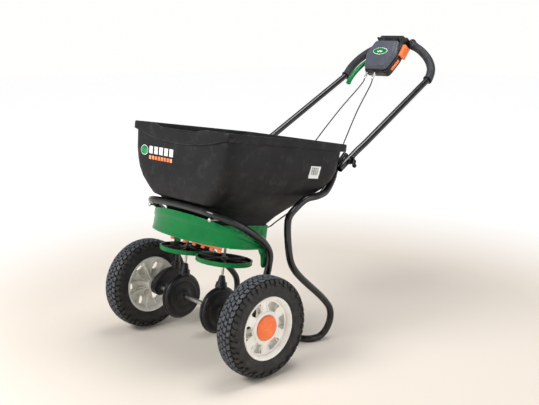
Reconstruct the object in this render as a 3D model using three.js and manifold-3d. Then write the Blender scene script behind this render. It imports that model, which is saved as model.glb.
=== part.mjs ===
// Walk-behind rotary spreader with two counter-rotating discs.
// Millimetres, +Z up. The spreader travels towards -Y; +X is its left side, seen from behind.
// Floor coordinates put the axle at y = 0. The hopper, shroud and shafts lean back with the
// whole machine while it rests on its stand, so they are modelled upright in a leaning group.
import * as THREE from "three";
import { mergeVertices } from "three/addons/utils/BufferGeometryUtils.js";
import Module from "manifold-3d";

// Driving dimensions
const WHEEL_R = 150;
const TYRE_W = 73;
const TRACK = 570.8;
const LEAN = THREE.MathUtils.degToRad(9.09);
const RIM_R = 94;
const CAP_R = 37;
const AXLE_R = 7.5;
const AXLE_HALF = 296;
const TUBE_R = 11.1;
const TUBE_WALL = 1.6;
const RUN_GAP = 0.3;
const HOPPER_RIM_Z = 541;
const HOPPER_WALL = 3;
const NECK_Z = 262;
const SHROUD_LOW_Z = 213;
const SHROUD_HALF_W = 212;
const SHROUD_FRONT = 122;
const SHROUD_REAR = 56;
const COLLAR = { halfW: 111, front: 98, rear: 158 };
const ROTOR_X = 91.2;
const ROTOR_R = 87.3;
const ROTOR_TOP_Z = 161;
const ROTOR_RIM_H = 13;
const SHAFT_R = 4;
const PORT = { x: 60, front: -58, rear: -32 };
const GATE_TRAVEL = 26;
const SHIELD_TRAVEL = 46;
const CASE_R = 73;
const CASE_IN = 79;
const CASE_MID = 94;
const CASE_OUT = 108;
const RING_R = 40;
const PINION_R = 8;
const RING_TEETH = 30;
const PINION_TEETH = 6;
const FOLD = { y: 376, z: 489 };
const HANDLE_X = 208;
const LEG_X = 184.4;
const FOLD_BOLT_R = 4;
const GRIP_R = 15.4;
const BAR = { y: 973, z: 940 };
const CONSOLE_SLOPE = THREE.MathUtils.degToRad(53);
const CABLE_R = 2.2;
const TUBE_END = { x: 216, y: 60, z: 50 };
const BOLT_X = 147;
const BOLT_Z = 286.6;
const CABLE_END_LEFT = 92;
const CABLE_END_RIGHT = 40;
const CABLE_END_Z = 253;
const FERRULE_LEFT = -2;
const FERRULE_RIGHT = -38;
const FERRULE_Z = 46;
const DIAL_Y = -92;
const LEVER_PIVOT = { y: -116, z: 34 };
const SIDES = [
  ["left", 1],
  ["right", -1],
];

const wasm = await Module();
wasm.setup();

// Solids

function solid(geometry) {
  const plain = geometry.clone();
  plain.deleteAttribute("normal");
  plain.deleteAttribute("uv");
  const merged = mergeVertices(plain, 1e-4);
  return new wasm.Manifold(
    new wasm.Mesh({
      numProp: 3,
      vertProperties: new Float32Array(merged.attributes.position.array),
      triVerts: new Uint32Array(merged.index.array),
    }),
  );
}

function geometryOf(manifold) {
  const mesh = manifold.getMesh();
  const geometry = new THREE.BufferGeometry();
  geometry.setAttribute(
    "position",
    new THREE.BufferAttribute(mesh.vertProperties, 3),
  );
  geometry.setIndex(new THREE.BufferAttribute(mesh.triVerts, 1));
  return geometry;
}

function join(first, ...others) {
  return geometryOf(others.reduce((all, g) => all.add(solid(g)), solid(first)));
}

function cut(first, ...others) {
  return geometryOf(
    others.reduce((all, g) => all.subtract(solid(g)), solid(first)),
  );
}

function box(x0, x1, y0, y1, z0, z1) {
  return new THREE.BoxGeometry(x1 - x0, y1 - y0, z1 - z0).translate(
    (x0 + x1) / 2,
    (y0 + y1) / 2,
    (z0 + z1) / 2,
  );
}

// A cylinder between two coordinates along an axis, centred on the other two.
function rod(axis, from, to, radius, a = 0, b = 0, sides = 16) {
  const g = new THREE.CylinderGeometry(radius, radius, to - from, sides);
  const middle = (from + to) / 2;
  if (axis === "x") return g.rotateZ(-Math.PI / 2).translate(middle, a, b);
  if (axis === "y") return g.translate(a, middle, b);
  return g.rotateX(Math.PI / 2).translate(a, b, middle);
}

// A profile of [radius, height] pairs turned about Z.
function turned(profile, segments = 32) {
  const points = profile.map(([r, z]) => new THREE.Vector2(r, z));
  return new THREE.LatheGeometry([...points, points[0]], segments).rotateX(
    Math.PI / 2,
  );
}

// The same profile turned about X; height runs outwards on the given side.
function turnedOnX(profile, side, segments = 32) {
  return turned(profile, segments).rotateY((side * Math.PI) / 2);
}

function plate(points, z0, z1, holes = []) {
  const shape = new THREE.Shape(points.map(([x, y]) => new THREE.Vector2(x, y)));
  for (const [x, y, r] of holes) {
    shape.holes.push(new THREE.Path().absarc(x, y, r, 0, 2 * Math.PI, true));
  }
  return new THREE.ExtrudeGeometry(shape, {
    depth: z1 - z0,
    bevelEnabled: false,
    curveSegments: 8,
  }).translate(0, 0, z0);
}

// Paths and tubes

// A path whose stations are placed where the bends need them.
class StationPath extends THREE.Curve {
  constructor(stations) {
    super();
    this.stations = stations;
  }

  getUtoTmapping(u) {
    return u;
  }

  getPoint(t) {
    const last = this.stations.length - 1;
    const at = Math.min(Math.max(t, 0), 1) * last;
    const i = Math.min(Math.floor(at), last - 1);
    return this.stations[i].clone().lerp(this.stations[i + 1], at - i);
  }
}

function vectors(points) {
  return points.map((p) => new THREE.Vector3(...p));
}

function smooth(points, steps) {
  return new THREE.CatmullRomCurve3(vectors(points), false, "centripetal").getPoints(
    steps,
  );
}

function polygon(radius, sides) {
  return Array.from({ length: sides }, (_, i) => {
    const angle = (2 * Math.PI * i) / sides;
    return new THREE.Vector2(radius * Math.cos(angle), radius * Math.sin(angle));
  });
}

function tube(stations, radius, bore = 0, sides = 10, boreSides = 4) {
  const section = new THREE.Shape(polygon(radius, sides));
  if (bore > 0) {
    section.holes.push(new THREE.Path(polygon(bore, boreSides).reverse()));
  }
  return new THREE.ExtrudeGeometry(section, {
    extrudePath: new StationPath(stations),
    steps: stations.length - 1,
    bevelEnabled: false,
  });
}

function steelTube(points, steps) {
  return tube(smooth(points, steps), TUBE_R, TUBE_R - TUBE_WALL, 8);
}

// Leaning coordinates to floor coordinates, and the other way round.
function leaning([x, y, z]) {
  return [
    x,
    y * Math.cos(LEAN) + z * Math.sin(LEAN),
    -y * Math.sin(LEAN) + z * Math.cos(LEAN) + WHEEL_R,
  ];
}

// A mirrored copy of a geometry for the other side.
function onSide(geometry, side) {
  if (side > 0) return geometry;
  const mirrored = geometry.index ? geometry.toNonIndexed() : geometry.clone();
  mirrored.deleteAttribute("normal");
  mirrored.deleteAttribute("uv");
  mirrored.scale(-1, 1, 1);
  const p = mirrored.attributes.position;
  for (let i = 0; i < p.count; i += 3) {
    const b = [p.getX(i + 1), p.getY(i + 1), p.getZ(i + 1)];
    p.setXYZ(i + 1, p.getX(i + 2), p.getY(i + 2), p.getZ(i + 2));
    p.setXYZ(i + 2, ...b);
  }
  return mirrored;
}

// Materials
function finish(color, roughness, metalness) {
  return new THREE.MeshStandardMaterial({ color, roughness, metalness });
}
const POWDER_BLACK = finish(0x17181a, 0.4, 0.3);
const HOPPER_BLACK = finish(0x1d1e21, 0.7, 0);
const PLASTIC_BLACK = finish(0x141416, 0.5, 0);
const CONSOLE_GREY = finish(0x2c2f34, 0.45, 0);
const GREEN = finish(0x0c7a35, 0.3, 0);
const ORANGE = finish(0xf0592a, 0.4, 0);
const RUBBER = finish(0x1a1a1b, 0.85, 0);
const FOAM = finish(0x2b2d31, 0.9, 0);
const RIM_GREY = finish(0xb4b0a6, 0.5, 0);
const ZINC = finish(0xaaaaa8, 0.35, 1);
const CABLE_GREY = finish(0x2a2c2f, 0.5, 0);

const spreader = new THREE.Group();
const floorGroup = new THREE.Group();
const leanGroup = new THREE.Group();
leanGroup.position.z = WHEEL_R;
leanGroup.rotation.x = -LEAN;
spreader.add(floorGroup, leanGroup);

function place(group, name, geometry, material) {
  const mesh = new THREE.Mesh(geometry, material);
  mesh.name = name;
  group.add(mesh);
}

// Hopper: rounded-rectangle sections joined from the neck up to the rim.

// Each section: height, half width, front, rear, corner radius.
const HOPPER_SECTIONS = [
  [NECK_Z, 107, 88, 151, 20],
  [290, 118, 94, 184, 28],
  [318, 145, 104, 211, 38],
  [326, 154, 126, 219, 40],
  [346, 175, 134, 237, 42],
  [373, 200, 141, 264, 42],
  [400, 216, 144, 295, 40],
  [426, 224, 146, 315, 38],
  [457, 229, 148, 325, 35],
  [HOPPER_RIM_Z - 22, 232, 150, 330, 32],
];
const RIM_SECTION = [238, 157, 346, 27];
// Lower edge of the deeper apron in the middle of the front lip: [x, z].
const APRON_EDGE = [
  [203, 515],
  [150, 505.5],
  [100, 498],
  [50, 493],
  [0, 491.5],
];

function roundedRing([z, halfW, front, rear, radius], corner = 4) {
  const centres = [
    [halfW - radius, rear - radius, 0],
    [radius - halfW, rear - radius, 1],
    [radius - halfW, radius - front, 2],
    [halfW - radius, radius - front, 3],
  ];
  return centres.flatMap(([cx, cy, quarter]) =>
    Array.from({ length: corner }, (_, i) => {
      const angle = (Math.PI / 2) * (quarter + i / (corner - 1));
      return [cx + radius * Math.cos(angle), cy + radius * Math.sin(angle), z];
    }),
  );
}

function loft(rings) {
  const n = rings[0].length;
  const positions = rings.flat(2);
  const index = [];
  for (let k = 0; k + 1 < rings.length; k++) {
    for (let i = 0; i < n; i++) {
      const [a, b] = [k * n + i, k * n + ((i + 1) % n)];
      index.push(a, b, b + n, a, b + n, a + n);
    }
  }
  const top = (rings.length - 1) * n;
  for (let i = 1; i + 1 < n; i++) {
    index.push(0, i + 1, i, top, top + i, top + i + 1);
  }
  const geometry = new THREE.BufferGeometry();
  geometry.setAttribute(
    "position",
    new THREE.Float32BufferAttribute(positions, 3),
  );
  geometry.setIndex(index);
  return geometry;
}

function inset([z, halfW, front, rear, radius], wall) {
  return [z, halfW - wall, front - wall, rear - wall, Math.max(radius - wall, 4)];
}

function apron() {
  const edge = [
    ...APRON_EDGE,
    ...APRON_EDGE.slice(0, -1)
      .reverse()
      .map(([x, z]) => [-x, z]),
  ];
  const top = HOPPER_RIM_Z - 20;
  const outline = [[203, top], ...edge, [-203, top]].reverse();
  return plate(outline, 146.5, 157).rotateX(Math.PI / 2);
}

function hopper() {
  const rim = [
    [HOPPER_RIM_Z - 22, ...RIM_SECTION],
    [HOPPER_RIM_Z, ...RIM_SECTION],
  ];
  const outer = loft(HOPPER_SECTIONS.map((s) => roundedRing(s)));
  const lip = loft(rim.map((s) => roundedRing(s)));
  const hollow = HOPPER_SECTIONS.map((s, i) => {
    const [z, ...rest] = inset(s, HOPPER_WALL);
    return roundedRing([i === 0 ? z + HOPPER_WALL : z, ...rest]);
  });
  const mouth = inset([HOPPER_RIM_Z + 1, ...RIM_SECTION], HOPPER_WALL + 3);
  const ports = portCuts(NECK_Z - 1, NECK_Z + 8);
  const notch = box(-104, 104, -164, -150.5, HOPPER_RIM_Z - 9, HOPPER_RIM_Z + 1);
  return cut(
    join(outer, lip, apron()),
    loft([...hollow, roundedRing(mouth)]),
    notch,
    ...ports,
  );
}

// Shroud: D-shaped deck with a front fascia and a collar round the hopper's neck.

function deckOutline(grow = 0) {
  const w = SHROUD_HALF_W + grow;
  const f = -SHROUD_FRONT - grow;
  const curve = new THREE.CubicBezierCurve(
    new THREE.Vector2(w, -20),
    new THREE.Vector2(w - 5, -84),
    new THREE.Vector2(120, f),
    new THREE.Vector2(0, f),
  );
  const half = curve.getPoints(10).map((p) => [p.x, p.y]);
  const other = half
    .slice(0, -1)
    .reverse()
    .map(([x, y]) => [-x, y]);
  return [[w, SHROUD_REAR + grow], ...half, ...other, [-w, SHROUD_REAR + grow]];
}

function shroud() {
  const deck = plate(deckOutline(), SHROUD_LOW_Z, SHROUD_LOW_Z + 3);
  const skirt = cut(
    plate(deckOutline(), SHROUD_LOW_Z, 291),
    plate(deckOutline(-3), SHROUD_LOW_Z - 1, 292),
    box(-250, 250, 20, 70, SHROUD_LOW_Z + 12, 292),
  );
  const slope = Math.atan(0.45);
  const above = box(-260, 260, -400, 400, 0, 200)
    .rotateX(-slope)
    .translate(0, -SHROUD_FRONT, 289);
  const collarBox = box(
    -COLLAR.halfW,
    COLLAR.halfW,
    -COLLAR.front,
    COLLAR.rear,
    SHROUD_LOW_Z,
    NECK_Z - 1,
  );
  const collarHole = box(
    -COLLAR.halfW + 3,
    COLLAR.halfW - 3,
    -COLLAR.front + 3,
    COLLAR.rear - 3,
    SHROUD_LOW_Z - 1,
    NECK_Z,
  );
  const fins = SIDES.map(([, side]) =>
    box(
      side * (SHROUD_HALF_W - 1.5) - 1.5,
      side * (SHROUD_HALF_W - 1.5) + 1.5,
      38,
      SHROUD_REAR,
      156,
      SHROUD_LOW_Z + 2,
    ),
  );
  const bosses = SIDES.map(([, side]) =>
    box(side * BOLT_X - 7, side * BOLT_X + 7, -121.4, -88, 262, 290.4),
  );
  const bolts = SIDES.map(([, side]) =>
    rod("y", -134, -80, 3.3, side * BOLT_X, BOLT_Z, 12),
  );
  const cableHoles = [
    rod("y", 150, 165, 3.4, CABLE_END_LEFT, CABLE_END_Z, 12),
    rod("y", 150, 165, 3.4, CABLE_END_RIGHT, CABLE_END_Z, 12),
  ];
  return cut(
    join(cut(skirt, above), deck, collarBox, ...bosses, ...fins),
    collarHole,
    ...bolts,
    ...cableHoles,
  );
}

// Metering parts inside the collar: outlet plate, shut-off gate and side shield.

function portCuts(z0, z1) {
  return SIDES.flatMap(([, side]) => [
    rod("z", z0, z1, 6, side * ROTOR_X, 0),
    box(side * PORT.x - 22, side * PORT.x + 22, PORT.front, PORT.rear, z0, z1),
  ]);
}

function outletPlate() {
  return cut(box(-107, 107, -94, 154, 256, 260), ...portCuts(255, 261));
}

// Closed at rest: its windows stand in front of the ports until it slides back.
function shutOffGate() {
  const slots = SIDES.map(([, side]) =>
    box(side * ROTOR_X - 7, side * ROTOR_X + 7, -52, 14, 249, 255),
  );
  const windows = SIDES.map(([, side]) =>
    box(
      side * PORT.x - 22,
      side * PORT.x + 22,
      PORT.front - GATE_TRAVEL,
      PORT.rear - GATE_TRAVEL,
      249,
      255,
    ),
  );
  const blade = cut(box(-105, 105, -93, 100, 250, 253), ...slots, ...windows);
  return join(blade, box(CABLE_END_RIGHT - 8, CABLE_END_RIGHT + 8, 90, 112, 236, 251));
}

// Open at rest: sliding it to the left shuts the right-hand port only.
function sideShield() {
  const blade = box(-104, 150, -66, -22, 205, 208);
  const lip = box(-104, 150, -68, -64, 196, 208);
  const teeth = [-88, -24, 22, 64, 104, 140].map((x) =>
    box(x - 7, x + 7, -69, -63, 189, 198),
  );
  const ports = [
    box(-PORT.x - 22, -PORT.x + 22, PORT.front, PORT.rear, 200, 210),
    box(PORT.x - 22 - SHIELD_TRAVEL, PORT.x + 22, PORT.front, PORT.rear, 200, 210),
  ];
  return cut(join(blade, lip, ...teeth), ...ports);
}

// Rotors: green dish, black vane plate, steel shaft and the agitator in the hopper.

function rotorDish(side) {
  const floorZ = ROTOR_TOP_Z - ROTOR_RIM_H;
  return turned(
    [
      [11, floorZ],
      [ROTOR_R - 1.5, floorZ],
      [ROTOR_R, floorZ + 2],
      [ROTOR_R, ROTOR_TOP_Z],
      [ROTOR_R - 2.4, ROTOR_TOP_Z],
      [ROTOR_R - 2.8, floorZ + 2.4],
      [11, floorZ + 2.4],
    ],
    24,
  ).translate(side * ROTOR_X, 0, 0);
}

function rotorVanes(side) {
  const z = ROTOR_TOP_Z - ROTOR_RIM_H + 2.8;
  const disc = turned(
    [
      [SHAFT_R + 0.1, z - 6],
      [10.4, z - 6],
      [10.4, z],
      [83.8, z],
      [83.8, ROTOR_TOP_Z - 0.6],
      [82.2, ROTOR_TOP_Z - 0.6],
      [82, z + 1.6],
      [14, z + 1.6],
      [11, z + 14],
      [SHAFT_R + 0.1, z + 14],
    ],
    24,
  );
  const vanes = Array.from({ length: 6 }, (_, i) =>
    box(12, 80, -1.2, 1.2, z + 1, z + 9).rotateZ((i * Math.PI) / 3 + 0.26),
  );
  return join(disc, ...vanes).translate(side * ROTOR_X, 0, 0);
}

function rotorShaft(side) {
  return rod("z", 30, 300, SHAFT_R, side * ROTOR_X, 0, 12);
}

function agitator(side) {
  const hub = turned(
    [
      [SHAFT_R + 0.1, 272],
      [8, 272],
      [8, 286],
      [SHAFT_R + 0.1, 286],
    ],
    12,
  );
  const arms = join(
    rod("x", 7, 15, 2.5, 0, 279, 8),
    rod("x", -15, -7, 2.5, 0, 279, 8),
    hub,
  );
  return arms.translate(side * ROTOR_X, 0, 0);
}

function pinion(side) {
  const teeth = Array.from({ length: PINION_TEETH }, (_, i) =>
    box(4.5, PINION_R - 0.4, -1.4, 1.4, 34, 46).rotateZ(
      (2 * Math.PI * i) / PINION_TEETH,
    ),
  );
  const body = turned(
    [
      [SHAFT_R + 0.1, 33],
      [6, 33],
      [6, 48],
      [SHAFT_R + 0.1, 48],
    ],
    12,
  );
  return join(body, ...teeth).translate(side * ROTOR_X, 0, 0);
}

// Ring gear on the axle; its teeth face the pinion.
function ringGear(side) {
  const face = ROTOR_X + PINION_R + 0.4;
  const web = turnedOnX(
    [
      [AXLE_R + RUN_GAP, face - 6],
      [13, face - 6],
      [13, face + 1],
      [RING_R + 8, face + 1],
      [RING_R + 8, face + 3],
      [AXLE_R + RUN_GAP, face + 3],
    ],
    1,
    20,
  );
  const teeth = Array.from({ length: RING_TEETH }, (_, i) =>
    box(face, face + 2, -1.5, 1.5, RING_R - 6, RING_R + 6).rotateX(
      (2 * Math.PI * i) / RING_TEETH,
    ),
  );
  return onSide(join(web, ...teeth), side);
}

// Half of the shaft's neck, joined to one half of the gear case.
function withNeck(shell, otherHalf) {
  const neck = turned(
    [
      [SHAFT_R + 0.4, 71.5],
      [17, 71.5],
      [17, 78],
      [14, 80],
      [11, 92],
      [8.6, 106],
      [SHAFT_R + 0.4, 106],
    ],
    10,
  ).translate(ROTOR_X, 0, 0);
  const trimmed = cut(neck, otherHalf, rod("x", 60, 120, CASE_R - 3, 0, 0, 16));
  const shaftWay = rod("z", 60, 110, SHAFT_R + 0.4, ROTOR_X, 0, 16);
  return cut(join(shell, trimmed), shaftWay);
}

function caseInner(side) {
  const shell = turnedOnX(
    [
      [AXLE_R + 0.5, CASE_IN - 8],
      [21, CASE_IN - 8],
      [24, CASE_IN - 1],
      [CASE_R - 4, CASE_IN + 4],
      [CASE_R, CASE_IN + 7],
      [CASE_R, CASE_MID],
      [CASE_R - 3, CASE_MID],
      [CASE_R - 3, CASE_IN + 8],
      [CASE_R - 5, CASE_IN + 6.5],
      [26, CASE_IN + 2],
      [AXLE_R + 0.5, CASE_IN + 2],
    ],
    1,
    16,
  );
  const beyond = box(CASE_MID, CASE_MID + 30, -30, 30, 60, 110);
  return onSide(withNeck(shell, beyond), side);
}

function caseOuter(side) {
  const shell = turnedOnX(
    [
      [AXLE_R + 0.5, CASE_OUT - 1],
      [26, CASE_OUT - 1],
      [CASE_R - 6, CASE_OUT - 3],
      [CASE_R - 3, CASE_OUT - 6],
      [CASE_R - 3, CASE_MID + 0.4],
      [CASE_R, CASE_MID + 0.4],
      [CASE_R, CASE_OUT - 4],
      [CASE_R - 4, CASE_OUT],
      [24, CASE_OUT + 4],
      [20, CASE_OUT + 10],
      [AXLE_R + 0.5, CASE_OUT + 10],
    ],
    1,
    16,
  );
  const beyond = box(CASE_MID - 60, CASE_MID + 0.4, -30, 30, 60, 110);
  return onSide(withNeck(shell, beyond), side);
}

// Wheels

function tyre(side) {
  const h = TYRE_W / 2;
  return turnedOnX(
    [
      [RIM_R + 0.3, -h + 8],
      [RIM_R + 5, -h + 2],
      [120, -h],
      [WHEEL_R - 5, -h + 9],
      [WHEEL_R, -h + 20],
      [WHEEL_R, h - 20],
      [WHEEL_R - 5, h - 9],
      [120, h],
      [RIM_R + 5, h - 2],
      [RIM_R + 0.3, h - 8],
    ],
    side,
    26,
  ).translate((side * TRACK) / 2, 0, WHEEL_R);
}

function rim(side) {
  const h = TYRE_W / 2 - 9;
  const barrel = turnedOnX(
    [
      [RIM_R - 9, -h],
      [RIM_R, -h],
      [RIM_R, h],
      [RIM_R - 9, h],
      [RIM_R - 6, h - 6],
      [RIM_R - 6, 6 - h],
    ],
    1,
    26,
  );
  const hub = turnedOnX(
    [
      [AXLE_R + RUN_GAP, -34],
      [19, -34],
      [24, -4],
      [29, 4],
      [29, 12],
      [AXLE_R + RUN_GAP, 12],
    ],
    1,
    14,
  );
  const spokes = Array.from({ length: 6 }, (_, i) =>
    box(2, 16, -11, 11, 20, RIM_R - 4).rotateX((i * Math.PI) / 3),
  );
  return onSide(join(barrel, hub, ...spokes), side).translate(
    (side * TRACK) / 2,
    0,
    WHEEL_R,
  );
}

function hubCap(side) {
  return turnedOnX(
    [
      [0, 17],
      [30, 17],
      [CAP_R, 17],
      [CAP_R, 23],
      [CAP_R - 3, 28],
      [26, 30.5],
      [0, 31],
    ],
    side,
    20,
  ).translate((side * TRACK) / 2, 0, WHEEL_R);
}

function axle() {
  return rod("x", -AXLE_HALF, AXLE_HALF, AXLE_R, 0, WHEEL_R, 20);
}

// Bracket arm between the end of the front tube and the axle.

function axleBracket(side) {
  const outline = new THREE.Shape();
  outline.moveTo(-16, -20);
  outline.absarc(0, 0, 26, Math.PI * 1.25, Math.PI * 1.75, false);
  outline.lineTo(44, 20);
  outline.lineTo(78, 32);
  outline.lineTo(78, 62);
  outline.lineTo(30, 62);
  outline.quadraticCurveTo(-8, 60, -26, 22);
  outline.closePath();
  const arm = new THREE.ExtrudeGeometry(outline, {
    depth: 30,
    bevelEnabled: false,
    curveSegments: 6,
  });
  arm.applyMatrix4(
    new THREE.Matrix4().set(0, 0, 1, 0, 1, 0, 0, 0, 0, 1, 0, 0, 0, 0, 0, 1),
  );
  arm.translate(TUBE_END.x - 15, 0, 0);
  const socket = rod(
    "z",
    TUBE_END.z - 0.4,
    80,
    TUBE_R + 0.9,
    TUBE_END.x,
    TUBE_END.y,
    12,
  );
  return onSide(
    cut(arm, socket, rod("x", 150, 300, 13.8, 0, 0, 16)),
    side,
  );
}

function axleBush(side) {
  const lip = TUBE_END.x - 15;
  return turnedOnX(
    [
      [AXLE_R + 0.3, lip - 3.5],
      [19, lip - 3.5],
      [19, lip - 0.4],
      [13, lip - 0.4],
      [13, lip + 31],
      [AXLE_R + 0.3, lip + 31],
    ],
    side,
    16,
  );
}

// Frame tubes

// The front loop, from one bracket over the shroud's nose to the other.
const FRONT_LOOP_HALF = [
  [TUBE_END.x, TUBE_END.y, TUBE_END.z],
  [TUBE_END.x, TUBE_END.y, 100],
  [223, 61, 160],
  [226, 56, 199],
  [225, 30, 231],
  [217, -12, 257],
  [201, -55, 280],
  [172, -98, 298],
  [137, -116, 304.5],
  [80, -117, 307],
];

function frontTube() {
  const other = FRONT_LOOP_HALF.map(([x, y, z]) => [-x, y, z]).reverse();
  return steelTube([...FRONT_LOOP_HALF, ...other], 23);
}

// From the handle bolt under the hopper, down to the knee and in to the foot.
const LEG_TOP = [
  [LEG_X, 392, 508],
  [LEG_X, FOLD.y, FOLD.z],
  [LEG_X, 349, 455],
  [192, 335, 432],
  [200, 314, 406],
  [209, 286, 385],
  [216, 244, 373],
  [212, 200, 362],
  [207, 166, 334],
  [211, 136, 306],
  [213, 132, 279],
  [217, 146, 203],
  [219, 161, 164],
  [222, 190, 131],
].map(leaning);
const LEG_LOW = [
  [228, 326, 139],
  [230, 352, 101],
  [229, 354, 66],
  [221, 340, 28],
  [214, 321, 12.2],
  [211.6, 304, TUBE_R],
];

function leg(side) {
  const bolt = rod("x", 150, 250, FOLD_BOLT_R + 0.3, 0, 0, 16).translate(
    0,
    ...leaning([0, FOLD.y, FOLD.z]).slice(1),
  );
  return onSide(cut(steelTube([...LEG_TOP, ...LEG_LOW], 21), bolt), side);
}

const FOOT_HALF = [
  [211.5, 303.2, TUBE_R],
  [209.9, 292, TUBE_R],
  [204, 281, TUBE_R],
  [188, 268, TUBE_R],
  [160, 262, TUBE_R],
  [100, 262, TUBE_R],
];

function foot() {
  const other = FOOT_HALF.map(([x, y, z]) => [-x, y, z]).reverse();
  return steelTube([...FOOT_HALF, ...other], 16);
}

// Handle

const GRIP_END = [191.5, 886, 811.5];
const BOW_HALF = [
  GRIP_END,
  [191.3, 892, 815.2],
  [191, 899, 823],
  [188, 910, 838],
  [180, 921, 854],
  [166, 931, 871],
  [145, 941, 889],
  [112, 953, 909],
  [82, 962, 922],
  [52, 969, 932],
  [24, 972, 937],
];

function handleLeg(side) {
  const start = leaning([HANDLE_X, 342, 460]);
  const pivot = leaning([HANDLE_X, FOLD.y, FOLD.z]);
  const bend = leaning([HANDLE_X, 414, 521]);
  const after = leaning([HANDLE_X - 0.6, 452, 549]);
  const end = new THREE.Vector3(...GRIP_END);
  end.add(new THREE.Vector3(0.02, -0.52, -0.36));
  const stations = [
    ...vectors([start, pivot]),
    ...smooth([leaning([HANDLE_X, 396, 505.5]), bend, after], 4),
    end,
  ];
  const bolt = rod("x", 150, 250, FOLD_BOLT_R + 0.3, 0, 0, 16).translate(
    0,
    pivot[1],
    pivot[2],
  );
  return onSide(
    cut(tube(stations, TUBE_R, TUBE_R - TUBE_WALL, 8), bolt),
    side,
  );
}

const BOW_STATIONS = smooth(
  [...BOW_HALF, ...BOW_HALF.map(([x, y, z]) => [-x, y, z]).reverse()],
  30,
);

function handleBow() {
  return tube(BOW_STATIONS, TUBE_R, TUBE_R - TUBE_WALL, 8);
}

function foamGrip(side) {
  const covered = BOW_STATIONS.filter((p) => p.x > 66);
  return onSide(tube(covered, GRIP_R, TUBE_R + 1.3, 10, 8), side);
}

// Bolt through both tubes, its wing knob and the washer between the tubes.

function foldBolt(side) {
  const [, y, z] = leaning([0, FOLD.y, FOLD.z]);
  const head = rod("x", LEG_X - TUBE_R - 5, LEG_X - TUBE_R - 0.4, 8, y, z, 12);
  const shank = rod(
    "x",
    LEG_X - TUBE_R - 1,
    HANDLE_X + TUBE_R + 12,
    FOLD_BOLT_R,
    y,
    z,
    12,
  );
  return onSide(join(head, shank), side);
}

function wingKnob(side) {
  const [, y, z] = leaning([0, FOLD.y, FOLD.z]);
  const from = HANDLE_X + TUBE_R + 0.5;
  const body = turnedOnX(
    [
      [FOLD_BOLT_R + 0.35, from],
      [10, from],
      [10, from + 3],
      [8, from + 6],
      [8, from + 19],
      [FOLD_BOLT_R + 0.35, from + 19],
    ],
    1,
    12,
  );
  const wings = join(
    box(from + 6, from + 20, 6, 19, -2.6, 2.6),
    box(from + 6, from + 20, -19, -6, -2.6, 2.6),
    body,
  ).rotateX(-1.05);
  return onSide(wings.translate(0, y, z), side);
}

// Console, modelled in its own axes: X across, Y up the slope, Z out of its face.

function consoleMatrix() {
  const s = Math.sin(CONSOLE_SLOPE);
  const c = Math.cos(CONSOLE_SLOPE);
  return new THREE.Matrix4().set(
    1, 0, 0, 0,
    0, c, -s, BAR.y,
    0, s, c, BAR.z,
    0, 0, 0, 1,
  );
}

const consoleGroup = new THREE.Group();
consoleGroup.applyMatrix4(consoleMatrix());
spreader.add(consoleGroup);

const FACE_OUTLINE = [
  [50, -40],
  [66, -88],
  [67, -98],
  [50, -156],
  [41, -162],
  [-41, -162],
  [-50, -156],
  [-67, -98],
  [-66, -88],
  [-50, -40],
];
const BASE_OUTLINE = [
  [54, -8],
  [54, -36],
  [70, -48],
  [70, -106],
  [54, -160],
  [46, -171],
  [-46, -171],
  [-54, -160],
  [-70, -106],
  [-70, -48],
  [-54, -36],
  [-54, -8],
];
const BASE_BACK = 22;
const BASE_FACE = 54;
const CLAMP_BACK = -16;

function consoleBase() {
  const clamp = box(-50, 50, -42, 4, CLAMP_BACK, BASE_BACK + 1);
  const outer = join(plate(BASE_OUTLINE, BASE_BACK, BASE_FACE), clamp);
  const barWay = tube(
    BOW_STATIONS.filter((p) => Math.abs(p.x) < 90),
    TUBE_R + 1.2,
    0,
    16,
  ).applyMatrix4(consoleMatrix().invert());
  const inside = [
    box(-62, 62, -106, -50, BASE_BACK + 4, BASE_FACE + 1),
    box(-40, 40, -162, -30, BASE_BACK + 4, BASE_FACE + 1),
  ];
  const ferrules = [
    rod("y", -180, -150, 4.6, FERRULE_LEFT, FERRULE_Z, 14),
    rod("y", -180, -150, 4.6, FERRULE_RIGHT, FERRULE_Z, 14),
  ];
  const dialWay = rod("z", BASE_BACK - 1, BASE_BACK + 6, 6.5, 0, DIAL_Y, 16);
  const leverWay = rod("x", -80, -50, 5.4, LEVER_PIVOT.y, LEVER_PIVOT.z, 16);
  const railWay = box(58, 80, -103, -52, 33, 45);
  return cut(outer, barWay, ...inside, dialWay, leverWay, railWay, ...ferrules);
}

function consoleCover() {
  const shape = new THREE.Shape(FACE_OUTLINE.map(([x, y]) => new THREE.Vector2(x, y)));
  return new THREE.ExtrudeGeometry(shape, {
    depth: 11,
    bevelEnabled: true,
    bevelThickness: 4,
    bevelSize: 4,
    bevelOffset: -4,
    bevelSegments: 1,
  }).translate(0, 0, BASE_FACE + 0.4 + 4);
}

function badge() {
  const shape = new THREE.Shape().absellipse(0, 0, 32, 15, 0, 2 * Math.PI);
  return new THREE.ExtrudeGeometry(shape, {
    depth: 1.6,
    bevelEnabled: false,
    curveSegments: 14,
  }).translate(0, -94, BASE_FACE + 19.8);
}

function phoneRest() {
  const tray = box(-44, 44, -38, -20, BASE_FACE + 0.4, BASE_FACE + 6);
  const horns = [-1, 1].map((s) =>
    box(s * 46 - 4, s * 46 + 4, -36, -24, BASE_FACE + 0.4, BASE_FACE + 15),
  );
  return join(tray, ...horns);
}

function rateDial() {
  const disc = rod("z", BASE_BACK - 14, BASE_BACK - 0.5, 30, 0, DIAL_Y, 28);
  const spindle = rod("z", BASE_BACK - 1, BASE_BACK + 12, 6, 0, DIAL_Y, 16);
  const grip = box(-4, 4, DIAL_Y - 24, DIAL_Y + 24, BASE_BACK - 22, BASE_BACK - 13);
  return join(disc, spindle, grip);
}

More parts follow.
